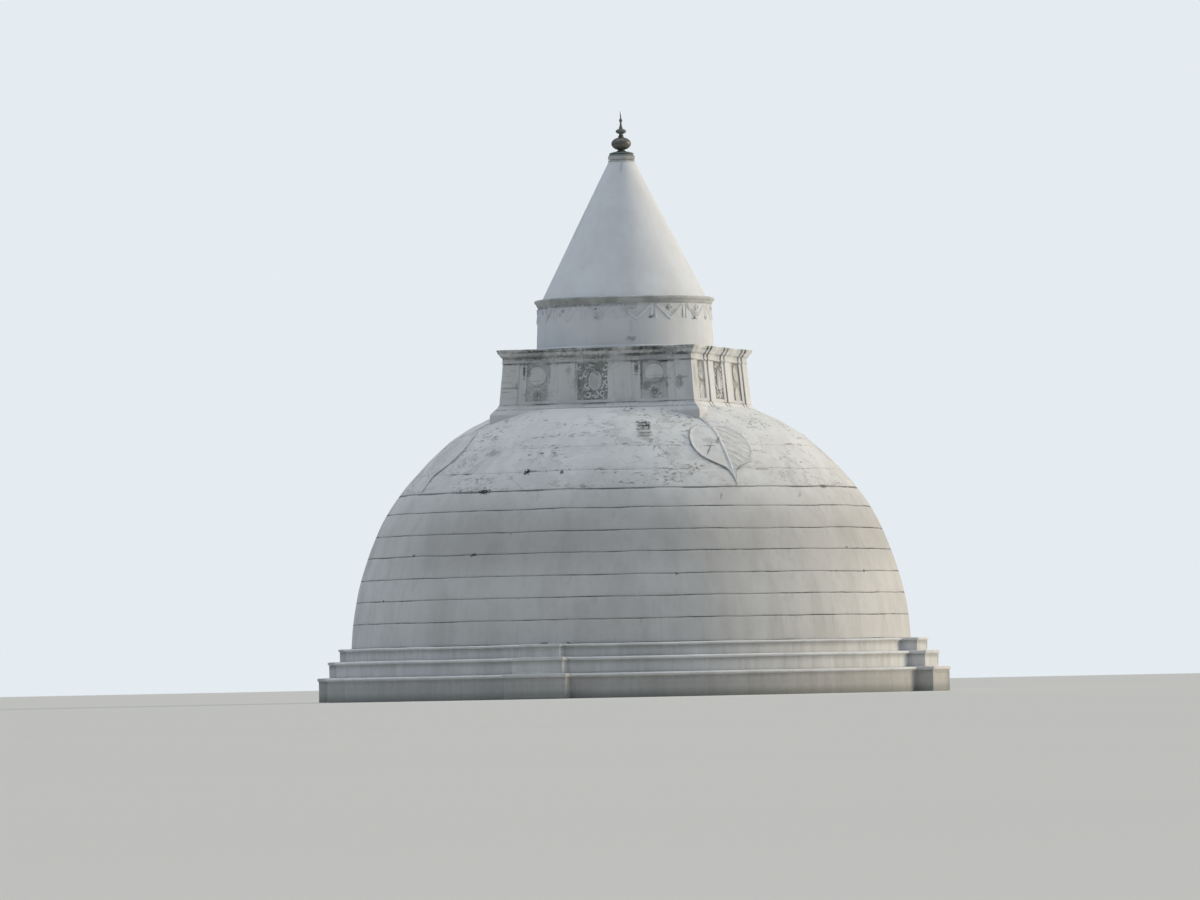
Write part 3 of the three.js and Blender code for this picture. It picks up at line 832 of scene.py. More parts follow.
def leaf_plaster(name, cracks=()):
    """Wash on a leaf relief: painted shade with some soot in the groove round it, painted shade beside
    the midrib and the veins, and painted highlights on the veins and the midrib.
    """
    wash = Plaster(name, 0.35)
    edge, vein, side = (wash.attribute(n) for n in ("leaf_edge", "leaf_vein", "leaf_side"))
    ragged = wash.noise(0.2, detail=5, rough=0.7)
    blush = wash.noise(0.7, detail=3).ramp(0.5, 0.7)
    right = side.ramp(0.02, 0.14)
    spacing = bpy.context.scene.dome_sizes.vein_spacing
    bend = (wash.noise(1.1, detail=1, shift=(3, 8, 2)) - 0.5) * 0.9 + (ragged - 0.5) * 0.06
    fan = wash.attribute("leaf_along") + abs(side) * 0.75 - side * side * 0.12 + 8 * spacing + bend
    # Painted highlight on each side vein, with painted shade just beside it.
    pale, dark = (abs((fan + shift).zigzag(spacing)).ramp(0.2, 0.03) for shift in (0, 0.07))
    lines = right * edge.ramp(0.04, 0.16)
    wash.lay("grime", right * (0.08 + 0.16 * ragged.ramp(0.4, 0.6)))
    wash.lay("grime", dark * lines * (0.26 + 0.5 * blush))
    wash.lay("whitewash", pale * lines * 0.9)
    wash.lay("bare_mortar", blush * 0.14)
    # Painted highlight on the midrib and the stem's ribs.
    wash.lay("whitewash", vein * 0.5)
    broken = wash.noise(0.5, detail=3, shift=(2, 6, 4)).ramp(0.36, 0.6)
    # Painted shadow of the raised rim, with some soot, in the groove round the leaf. It is weaker on
    # each leaf's right half and on the leaves on the -X side.
    groove = (edge + (ragged - 0.5) * 0.05).ramp(0.055, 0.012)
    rim_shade_share = (1 - 0.4 * side.ramp(-0.1, 0.2)) * (0.55 + 0.45 * wash.across.ramp(-3, 3))
    wash.lay("soot", groove * (0.22 + 0.38 * broken) * rim_shade_share)
    # Painted shade beside the midrib, on its left.
    beside = abs(side + 0.085).ramp(0.035, 0.0) * edge.ramp(0.1, 0.2)
    wash.lay("soot", beside * (0.12 + 0.3 * broken))
    crack = wash.cracks(0.9, 0.014) * wash.noise(1.3, detail=2, shift=(9, 1, 3)).ramp(0.5, 0.6)
    wash.lay("soot", crack * 0.35)
    wash.lay_blots("soot", cracks, ragged)
    return wash.finished(lines=pale * lines)


def tower_plaster(name, dark_share, seams=(), spots=(), greens=(), top=None, panels=False):
    """Wash on the tower, with black growth and painted shade along its seams, and soot with
    painted shade in its corners, down the reveals that face away from the key.

    Seams are (height, half width, strength); spots of black and greens are (centre, reach,
    strength). The sunny side has less lichen, and it is painted paler and cooler against the warm key.
    """
    wash = Plaster(name, 0.18)
    sunny = wash.across.ramp(4.25, 4.5)
    shade = 1 - sunny * 0.35
    # Painted light: the sunny face is painted paler and cooler to offset the warm key.
    wash.lay("fresh_wash", sunny * 0.5)
    wash.lay("grime", sunny * wash.back.ramp(-3.2, -4.4) * 0.2)
    blotch = wash.noise(0.5, detail=6, rough=0.65, stretch=(1, 1, 0.7))
    small = wash.noise(0.13, detail=5, rough=0.7)
    region = wash.noise(1.5, detail=3, shift=(3, 1, 7)).ramp(0.42, 0.58)
    drip = wash.noise(0.2, detail=4, stretch=(1, 1, 0.12))
    wash.lay("lichen", shade * (0.2 + 0.8 * blotch.ramp(0.45, 0.68)) * dark_share)
    wash.lay("grime", drip.ramp(0.5, 0.7) * region * 0.16)
    if panels:
        panel_growth(wash, sunny, blotch, small)
    if top is not None:
        height = wash.up + (drip - 0.5) * 0.5 + (small - 0.5) * 0.3
        growth = height.ramp(top - 0.2, top - 0.03) * shade * region
        growth = growth * wash.attribute("depth").ramp(0.3, 0.2)
        wash.lay("lichen", growth * 0.5)
        wash.lay("soot", growth * small.ramp(0.5, 0.6) * 0.5)
    bay = wash.attribute("bay")
    wander = (small - 0.5) * 0.05
    # Painted shade with some soot: dark lines down the reveals on the left of each pilaster and of the
    # right pier, which face away from the key. They are strongest on the sunny face.
    upright = (0.05 + 0.5 * sunny) * (0.3 + 0.7 * drip.ramp(0.35, 0.6))
    for edge in (start for step in (1, 2) for start, _ in proud_spans(step) if start > -BEYOND):
        wash.lay("soot", abs(bay - edge + wander).ramp(0.04, 0.01) * upright)
    # Soot along each seam. Where a seam lies under an overhang, it is painted shade too.
    for height, width, strength in seams:
        line = abs(wash.up - height + wander * 2).ramp(1.5 * width, 0.5 * width)
        patchy = 0.2 + 0.8 * region * small.ramp(0.35, 0.5)
        wash.lay("soot", line * patchy * shade * strength)
    wash.lay_blots("lichen", greens, small)
    for centre, reach, strength in spots:
        patchy = 0.45 + 0.55 * small.ramp(0.4, 0.55)
        wash.lay("soot", wash.spot(centre, reach, small) * patchy * strength)
    wash.lay("soot", small.ramp(0.66, 0.72) * region * 0.45)
    crack = wash.cracks(0.9, 0.012) * wash.noise(1.7, detail=2, shift=(1, 8, 2)).ramp(0.52, 0.6)
    wash.lay("soot", crack * 0.3)
    return wash.finished(0.88, depth=0.014)


def panel_growth(wash, sunny, blotch, small):
    """Lays on the growth in the sunk panels under their heads, painted shade between the scrolls and on
    the sunny face's sunk grounds, and a painted highlight on the middle panel's raised parts.
    """
    sizes = bpy.context.scene.tower_sizes
    shade = 1 - sunny * 0.5
    along, depth = wash.attribute("bay"), wash.attribute("depth")
    sunk = depth.ramp(0.02, 0.05)
    ground = depth.ramp(sizes.recess * 0.75, sizes.recess * 0.95)
    left, right = sizes.left_pilaster + sizes.pilaster_width, sizes.right_pilaster
    middle = along.ramp(left, left + 0.03) * along.ramp(right, right - 0.03)
    wash.lay("lichen", ground * shade * (0.18 + 0.06 * middle))
    # Painted shade: the sunk grounds on the sunny face are darker, so that the discs stand out pale.
    wash.lay("grime", (sunk * 0.2 + ground * 0.6) * sunny * (0.6 + 0.4 * blotch.ramp(0.4, 0.6)))
    # Painted shade in the holes between the scrolls of the middle panel.
    holes = middle * ground * small.ramp(0.4, 0.52) * (0.4 + 0.6 * blotch.ramp(0.35, 0.55))
    head = (top_of("tower_core") - wash.up + (blotch - 0.5) * 0.3).ramp(0.2, 0.05)
    head = head * blotch.ramp(0.45, 0.6)
    # Painted highlight: the raised parts of the middle panel are paler.
    wash.lay("whitewash", middle * depth.ramp(0.1, 0.08) * sunk * 0.25)
    wash.lay("soot", (sunk * head * 0.8).most(holes) * shade * 0.46)


def drum_plaster(name, foot, head, stain, spots=()):
    """Wash on the drum, with grime in the garland band and a few blots."""
    wash = Plaster(name, 0.05, "fresh_wash")
    blotch = wash.noise(0.55, detail=4, rough=0.6, stretch=(1, 1, 0.8))
    small = wash.noise(0.12, detail=4, rough=0.7)
    edge = wash.noise(0.25, detail=4, rough=0.7)
    band = wash.up.ramp(foot, head)
    wash.lay("grime", band * blotch.ramp(0.5, 0.7) * stain)
    wash.lay("soot", band * small.ramp(0.6, 0.7) * blotch.ramp(0.48, 0.6) * 0.5 * stain)
    top = foot_of("drum_cornice")
    shelf = wash.up.ramp(top - 0.15, top - 0.08) * wash.across.ramp(3.4, -1)
    wash.lay("soot", shelf * (0.1 + 0.5 * small.ramp(0.4, 0.6)))
    wash.lay_blots("soot", spots, edge)
    return wash.finished()


def lichened(name, share, head=None):
    """Wash of a moulding, with a share of patchy grey green lichen, thick above the head."""
    wash = Plaster(name, 0.5)
    spread = wash.noise(1.3, detail=6, rough=0.6)
    small = wash.noise(0.1, detail=5, rough=0.7)
    shade = 1 - wash.across.ramp(0.5, 3.6) * 0.28
    wash.lay("lichen", (share + (spread - 0.5) * 1.4) * shade)
    wash.lay("soot", small.ramp(0.56, 0.7) * spread.ramp(0.45, 0.62) * shade * 0.5)
    if head is not None:
        thick = wash.up.ramp(head - 0.02, head + 0.03)
        wash.lay("lichen", thick * 0.6)
    return wash.finished(0.9, 0.06, depth=0.016)


def aged_brass(name, patina):
    """Brass gone brown, tarnished in patches, with a share of grey green patina."""
    brass = Recipe(name)
    cloud = brass.noise(0.25, detail=6, rough=0.6)
    fine = brass.noise(0.04, detail=4)
    ring = brass.noise(0.02, detail=3, stretch=(0.1, 0.1, 1))
    tarnish = (cloud * 0.7 + fine * 0.3).ramp(0.38, 0.6)
    brass.colour = brass.paint["brass"]
    brass.lay("tarnish", tarnish * 0.8)
    brass.lay("patina", (patina + (cloud - 0.5) * 0.8).most(0))
    normal = brass.bump(cloud * 0.5 + fine * 0.3 + ring * 0.3, 0.006, 0.6)
    return brass.surface(0.42 + tarnish * 0.2, normal, 0.4, metallic=0.55 - 0.4 * patina)


def rock_crystal(name):
    crystal = Recipe(name)
    cloud = crystal.noise(0.05, detail=4)
    crystal.colour = crystal.mix((0.75, 0.8, 0.84), (0.5, 0.55, 0.58), cloud.ramp(0.4, 0.7))
    return crystal.surface(0.08 + cloud * 0.1, crystal.bump(cloud, 0.002, 0.3), 0.7)


def floor_finish(name):
    floor = Recipe(name)
    cloud = floor.noise(30, detail=3)
    pale = floor.paint["floor"]
    floor.colour = floor.mix(pale, tuple(c * 0.97 for c in pale), cloud)
    return floor.surface(0.9 + cloud * 0.05, floor.bump(cloud, 0.001, 0.1), 0.1)


def dome_radius(height):
    sizes = bpy.context.scene.dome_sizes
    swell = 0.08 * math.exp(-(((height - 8.8) / 1.4) ** 2))
    swell -= 0.04 * math.exp(-(((height - 11.7) / 0.8) ** 2))
    return sizes.radius * math.sqrt(1 - ((height - sizes.centre) / sizes.rise) ** 2) + swell


def dome_height(radius):
    """Height of the dome's skin at a distance from the axis: an ellipse below two straight slopes."""
    sizes = bpy.context.scene.dome_sizes
    top, step = top_of("dome_crown"), dome_radius(sizes.crown_step)
    if radius < sizes.shoulder_radius:
        share = (radius - sizes.platform_radius) / (sizes.shoulder_radius - sizes.platform_radius)
        return top - (top - sizes.shoulder_height) * max(share, 0) ** 1.05
    if radius < step:
        share = (radius - sizes.shoulder_radius) / (step - sizes.shoulder_radius)
        return sizes.shoulder_height + (sizes.crown_step - sizes.shoulder_height) * share
    return sizes.centre + sizes.rise * math.sqrt(1 - (radius / sizes.radius) ** 2)


def onto_dome(point, direction):
    """How far from a point, along a direction, the dome's skin lies."""
    inside, outside = -0.6, 1.6
    for _ in range(15):
        middle = (inside + outside) / 2
        spot = point + direction * middle
        if spot.z < dome_height(math.hypot(spot.x, spot.y)):
            inside = middle
        else:
            outside = middle
    return inside


class STUPA_OT_terraces(bpy.types.Operator):
    """Adds the three round terraces and the stepped altar blocks on the four sides"""

    bl_idname = "stupa.terraces"
    bl_label = "Terraces"
    bl_options = {"REGISTER", "UNDO"}

    # Each terrace's nosing, and half the width of the altar block against it.
    tiers = (("lower", 0.145, 1.49), ("middle", 0.13, 1.22), ("upper", 0.105, 0.935))
    overhang = 0.1

    def execute(self, context):
        wash = terrace_plaster("terrace_whitewash")
        altar_parts = []
        for level, nosing, altar_half in self.tiers:
            node = "terrace_" + level
            self.terrace(node, nosing, wash)
            altar_parts += self.altar_step(node, nosing, altar_half)
        altar = joined("altar", altar_parts)
        uneven(altar, 0.02, 1.1)
        for piece, face in zip(four_times(altar, FACES, "_altar_plaster"), FACES):
            finish(piece, wash, "whitewash", face + "_altar")
        return {"FINISHED"}

    def terrace(self, node, nosing, wash):
        """A round terrace: an uneven riser below a sloped nosing."""
        top, radius = top_of(node), half_of(node)
        wall, lip = radius - self.overhang, top - nosing
        profile = [
            (wall, foot_of(node)),
            (wall - 0.012, lip - 0.05),
            (wall + 0.02, lip),
            (radius - 0.012, lip + 0.02),
            (radius, top - nosing * 0.55),
            (radius - 0.06, top - 0.025),
            (radius - 0.3, top),
        ]
        ring = turned(node + "_plaster", profile, DOME_SIDES // 2)
        soften(ring, 0.015)
        self.divide_walls(ring)
        self.note_nosing(ring, lip)
        uneven(ring, 0.03, 2.2)
        finish(ring, wash, "whitewash", node)

    def altar_step(self, node, nosing, half):
        """The altar block in front of a terrace, with a sunk panel, and the slab on it."""
        top, radius = top_of(node), half_of(node)
        front, back, lip = -(radius + 0.65), -(radius - 0.6), top - nosing
        block = box("altar_block", (-half, front, max(foot_of(node) - 0.05, 0)), (half, back, lip))
        slab = box("altar_slab", (-half - 0.05, front - 0.05, lip), (half + 0.05, back - 0.05, top))
        with shaping(block):
            pick(block, "faces", lambda f: f.normal.y < -0.9)
            bpy.ops.mesh.inset(thickness=0.12, depth=0)
            bpy.ops.mesh.inset(thickness=0.02, depth=-0.03)
        with shaping(slab):
            pick(slab, "faces", lambda f: f.normal.z > 0.9)
            bpy.ops.mesh.inset(thickness=0.06, depth=0.012)
        for part in (block, slab):
            soften(part, 0.014)
            refine(part, 2)
            self.note_nosing(part, lip)
        return [block, slab]

    def divide_walls(self, ring):
        """Adds level cuts to the riser so that it can be uneven."""
        heights = [v.co.z for v in ring.data.vertices]
        with shaping(ring):
            for height in spread(min(heights), max(heights), 6)[1:5]:
                bpy.ops.mesh.select_all(action="SELECT")
                bpy.ops.mesh.bisect(plane_co=(0, 0, height), plane_no=(0, 0, 1))

    def note_nosing(self, piece, height):
        """How far each point lies below the nosing."""
        note(piece, "below_nosing", [max(height - v.co.z, 0) for v in piece.data.vertices])


class STUPA_OT_dome(bpy.types.Operator):
    """Adds the lifts of the dome and its weathered crown"""

    bl_idname = "stupa.dome"
    bl_label = "Dome"
    bl_options = {"REGISTER", "UNDO"}

    # Blots on the joints and the crown: centre, reach and strength.
    joint_blots = (
        ((-3.86, -10.16, 9.69), (0.32, 0.3, 0.12), 0.85),
        ((10.45, -3.0, 9.69), (0.2, 0.35, 0.1), 0.7),
        ((7.17, -8.65, 9.25), (0.04, 0.2, 0.38), 0.3),
        ((9.97, -5.14, 9.15), (0.05, 0.2, 0.4), 0.3),
        ((11.15, -0.66, 9.3), (0.2, 0.05, 0.33), 0.25),
        ((-1.0, -11.0, 9.3), (0.04, 0.2, 0.25), 0.3),
    )
    upper_blots = (
        ((-1.8, -10.05, 10.58), (0.17, 0.4, 0.13), 1.0),
        ((-1.5, -10.1, 10.6), (0.22, 0.3, 0.05), 0.5),
        ((-0.05, -10.24, 10.53), (0.08, 0.2, 0.11), 0.8),
        ((-4.0, -8.4, 11.52), (0.42, 0.5, 0.15), 0.34),
        ((-5.94, -8.28, 10.57), (0.3, 0.3, 0.03), 0.6),
        ((-5.1, -8.8, 10.57), (0.35, 0.3, 0.035), 0.65),
        ((3.87, -8.2, 11.72), (0.05, 0.4, 0.35), 0.4),
        ((-1.97, -9.22, 11.39), (0.12, 0.2, 0.05), 0.6),
        ((-1.36, -9.28, 11.44), (0.14, 0.2, 0.05), 0.65),
        ((-0.72, -9.35, 11.46), (0.1, 0.2, 0.05), 0.6),
        ((8.35, -5.95, 10.52), (0.4, 0.5, 0.04), 0.5),
        # The last blot darkens the dome beside the front right leaf: soot flecks with painted shade of
        # the leaf.
        ((4.7, -8.1, 11.3), (0.4, 0.8, 0.6), 0.16),
    )
    crown_blots = (
        ((6.29, -4.26, 12.92), (0.16, 0.2, 0.07), 0.8),
        ((8.72, -2.4, 11.75), (0.2, 0.45, 0.04), 0.5),
        ((8.9, -1.5, 11.75), (0.2, 0.3, 0.035), 0.4),
    )

    def execute(self, context):
        sizes = context.scene.dome_sizes
        clean = dome_plaster("dome_whitewash", 0.5, blots=self.joint_blots)
        blots = self.joint_blots + self.upper_blots
        worn = dome_plaster("upper_dome_whitewash", 0.35, worn=True, blots=blots)
        crown_wash = dome_plaster("crown_whitewash", 0.15, worn=True, blots=self.crown_blots)
        for i in range(1, LIFT_COUNT + 1):
            node = f"dome_lift_{i}"
            foot, top = foot_of(node), top_of(node)
            heights = spread(foot, top, max(6, round((top - foot) / 0.14)))
            lift = turned(node + "_plaster", [(dome_radius(z), z) for z in heights], DOME_SIDES)
            self.finish_lift(lift, foot, top, worn if top > 10 else clean, node)
        foot = foot_of("dome_crown")
        profile = [(dome_radius(z), z) for z in spread(foot, sizes.crown_step, 6)]
        radii = spread(dome_radius(sizes.crown_step), sizes.shoulder_radius, 6)[1:]
        radii += spread(sizes.shoulder_radius, sizes.platform_radius, 10)[1:]
        profile += [(radius, dome_height(radius)) for radius in radii]
        crown = turned("dome_crown_plaster", profile, DOME_SIDES)
        self.finish_lift(crown, foot, top_of("dome_crown") + BEYOND, crown_wash, "dome_crown")
        return {"FINISHED"}

    def finish_lift(self, lift, foot, top, material, node):
        """Rounds a lift's joints, notes how far each point is from them, and makes it uneven."""
        sizes = bpy.context.scene.dome_sizes
        soften(lift, sizes.joint_width, angle=45)
        note(lift, "above_joint", [v.co.z - foot for v in lift.data.vertices])
        note(lift, "below_joint", [top - v.co.z for v in lift.data.vertices])
        uneven(lift, sizes.waviness, 2.6)
        uneven(lift, sizes.waviness * 0.35, 0.8)
        finish(lift, material, "whitewash", node, angle=35)


class STUPA_OT_leaves(bpy.types.Operator):
    """Adds the four leaf reliefs below the tower's corners, with rim, midrib, side veins and stem"""

    bl_idname = "stupa.leaves"
    bl_label = "Leaf reliefs"
    bl_options = {"REGISTER", "UNDO"}

    along, across = 132, 34  # faces from the tip to the notch, and from the midrib to the outline
    rim, blade, rib, vein = 0.04, 0.03, 0.05, 0.015  # how proud each part of the relief stands

    # Cracks and a blotch on the front right leaf: centre, reach and strength.
    cracks = (
        ((6.17, -7.05, 11.48), (0.04, 0.6, 0.4), 0.6),
        ((6.15, -6.95, 11.66), (0.35, 0.4, 0.04), 0.5),
        ((6.08, -6.6, 11.9), (0.35, 0.4, 0.2), 0.24),
        ((6.37, -6.42, 11.92), (0.07, 0.4, 0.24), 0.5),
    )

    def execute(self, context):
        sizes = context.scene.dome_sizes
        wash = leaf_plaster("leaf_whitewash", self.cracks)
        tip_radius, head_radius = dome_radius(sizes.leaf_foot), dome_radius(sizes.leaf_head)
        rise = sizes.leaf_head - sizes.leaf_foot
        slope = math.atan2(rise, tip_radius - head_radius)
        self.half = math.hypot(rise, tip_radius - head_radius) / 2
        height = (sizes.leaf_foot + sizes.leaf_head) / 2
        self.middle = Vector((0, -(tip_radius + head_radius) / 2, height))
        self.up_slope = Vector((0, math.cos(slope), math.sin(slope)))
        self.outwards = Vector((1, 0, 0)).cross(self.up_slope)
        half_width = sizes.leaf_width / 2
        kinds = (
            (sizes.leaf_lean, half_width, 0.28, 1),
            (sizes.left_leaf_lean, half_width * 0.85, 1.0, -1),
        )
        for i, (self.lean, self.side, self.stem_bend, hand) in enumerate(kinds):
            leaf = joined("leaf", [self.blades(), self.stem()])
            for corner in (i, i + 2):
                place = Matrix.Rotation((corner + 0.5) * QUARTER_TURN - i * math.radians(1.3), 4, "Z")
                mirror = Matrix.Scale(hand, 4, (1, 0, 0))
                piece = copied(leaf, CORNERS[corner] + "_leaf_plaster", place @ mirror)
                finish(piece, wash, "whitewash", "leaf_" + CORNERS[corner], angle=60)
            bpy.data.objects.remove(leaf)
        return {"FINISHED"}

    def outline(self):
        """The right half of the outline, from the tip to the notch, as evenly spaced (x, y) points."""
        knots = (
            ((0, -1), (0.03, -0.82), (0.09, -0.6), (0.15, -0.5)),
            ((0.15, -0.5), (0.3, -0.4), (0.62, -0.3), (0.8, -0.1)),
            ((0.8, -0.1), (0.91, 0.05), (0.97, 0.18), (0.95, 0.34)),
            ((0.95, 0.34), (0.93, 0.7), (0.68, 1.01), (0.4, 1.04)),
            ((0.4, 1.04), (0.22, 1.06), (0.06, 1.02), (0, 0.92)),
        )
        dense = []
        for arc in knots:
            for k in range(60):
                t = k / 60
                weights = ((1 - t) ** 3, 3 * t * (1 - t) ** 2, 3 * t * t * (1 - t), t**3)
                x, y = (sum(w * p[i] for w, p in zip(weights, arc)) for i in (0, 1))
                dense.append((x * self.side, y * self.half))
        dense.append((0, knots[-1][-1][1] * self.half))
        lengths = [0.0]
        for p, q in zip(dense, dense[1:]):
            lengths.append(lengths[-1] + math.dist(p, q))
        points, k = [], 0
        for i in range(self.along + 1):
            want = lengths[-1] * i / self.along
            while k < len(dense) - 2 and lengths[k + 1] < want:
                k += 1
            share = (want - lengths[k]) / (lengths[k + 1] - lengths[k])
            points.append(tuple(dense[k][j] + (dense[k + 1][j] - dense[k][j]) * share for j in (0, 1)))
        return points

    def laid(self, x, y, proud):
        """A point of the flat drawing, which leans about its tip, on the dome and proud of it."""
        sine, cosine, height = math.sin(self.lean), math.cos(self.lean), y + self.half
        x, y = x * cosine + height * sine, height * cosine - x * sine - self.half
        flat = self.middle + Vector((x, 0, 0)) + self.up_slope * y
        return flat + self.outwards * (onto_dome(flat, self.outwards) + proud)

    def relief(self, x, y, edge):
        """Height of the relief and its share of vein at a point; edge is its way to the outline."""
        rim = self.rim * math.exp(-(((edge - 0.07) / 0.05) ** 2))
        fade = min(1, edge / 0.12)
        rib_width = 0.03 + 0.035 * (y + self.half) / (2 * self.half)
        rib = self.rib * math.exp(-((x / rib_width) ** 2))
        spacing = bpy.context.scene.dome_sizes.vein_spacing
        fan = (y + 0.75 * abs(x)) / spacing
        off = abs(fan - round(fan)) * spacing * 0.8
        side_vein = self.vein * math.exp(-((off / 0.065) ** 2)) * fade * (1 if x > 0 else 0.15)
        return self.blade + max(rim, rib, side_vein), rib / self.rib

    def blades(self):
        """Both halves of the leaf as one grid, whose rows run from the midrib to the outline."""
        points = self.outline()
        bpy.ops.mesh.primitive_grid_add(
            x_subdivisions=2 * self.across, y_subdivisions=self.along, size=1
        )
        leaf = added("leaf_blades")
        notch = points[-1][1]
        notes = []
        for vertex in leaf.data.vertices:
            row = round((vertex.co.y + 0.5) * self.along)
            column = round(2 * vertex.co.x * self.across)
            share = abs(column) / self.across
            edge_x, edge_y = points[row]
            rib_y = -self.half + (notch + self.half) * (row / self.along) ** 1.15
            x = math.copysign(edge_x * share, column)
            y = rib_y + (edge_y - rib_y) * share
            edge = min(math.dist((abs(x), y), p) for p in points[max(row - 14, 0) : row + 15 : 2])
            height, vein = self.relief(x, y, edge)
            notes.append((edge, vein, x, y))
            vertex.co = self.laid(x, y, height)
        self.note_leaf(leaf, notes)
        self.close_down(leaf, 0.16)
        return leaf

    def stem(self):
        """The stem from the notch up to the tower's corner, with a groove along it."""
        bpy.ops.mesh.primitive_grid_add(x_subdivisions=14, y_subdivisions=60, size=1)
        stem = added("leaf_stem")
        start, end = self.half - 0.34, self.half + 0.95
        notes = []
        for vertex in stem.data.vertices:
            share, across = vertex.co.y + 0.5, 2 * vertex.co.x
            y = start + (end - start) * share
            x = 0.09 * across - self.stem_bend * share**2
            twin = math.exp(-(((abs(across) - 0.55) / 0.28) ** 2))
            notes.append((0.02 + 0.08 * (1 - abs(across)), twin * 0.5, 0, y))
            vertex.co = self.laid(x, y, 0.01 + 0.028 * twin)
        self.note_leaf(stem, notes)
        self.close_down(stem, 0.14)
        return stem

    def note_leaf(self, piece, notes):
        """Distance from the outline, share of midrib, and place across and along the leaf."""
        for name, values in zip(("leaf_edge", "leaf_vein", "leaf_side", "leaf_along"), zip(*notes)):
            note(piece, name, values)

    def close_down(self, piece, depth):
        """Takes the open edge down into the dome and closes the underside."""
        with shaping(piece):
            bpy.ops.mesh.select_mode(type="VERT")
            bpy.ops.mesh.select_all(action="SELECT")
            bpy.ops.mesh.remove_doubles(threshold=0.0005)
            pick(piece, "edges", lambda e: e.is_boundary)
            bpy.ops.mesh.extrude_region_move(TRANSFORM_OT_translate={"value": self.outwards * -depth})
            bpy.ops.mesh.edge_face_add()


class STUPA_OT_tower_foot(bpy.types.Operator):
    """Adds the skirt and the plinth under the tower"""

    bl_idname = "stupa.tower_foot"
    bl_label = "Tower foot"
    bl_options = {"REGISTER", "UNDO"}

    def execute(self, context):
        sizes = context.scene.tower_sizes
        half, top = half_of("tower_skirt"), top_of("tower_skirt")
        seams = ((top - 0.01, 0.02, 0.45), (sizes.wall_foot, 0.015, 0.45))
        wash = tower_plaster("tower_foot_whitewash", 0.02, seams=seams)
        shape = (sizes.foot_break, 0.014, ((0.03, 1.6),), wash, "whitewash", 50)
        profile = [(half, 12.6), (half, 13.3), (half - 0.01, 13.42), (half - 0.1, 13.54), (4.975, top)]
        moulding("tower_skirt", profile, *shape)
        foot, rise = foot_of("tower_plinth"), sizes.wall_foot - foot_of("tower_plinth")
        sweep = ((4.955, 0), (4.945, 0.15), (4.9, 0.35), (4.86, 0.6), (4.845, 0.85), (4.835, 1))
        moulding("tower_plinth", [(reach, foot + share * rise) for reach, share in sweep], *shape)
        return {"FINISHED"}


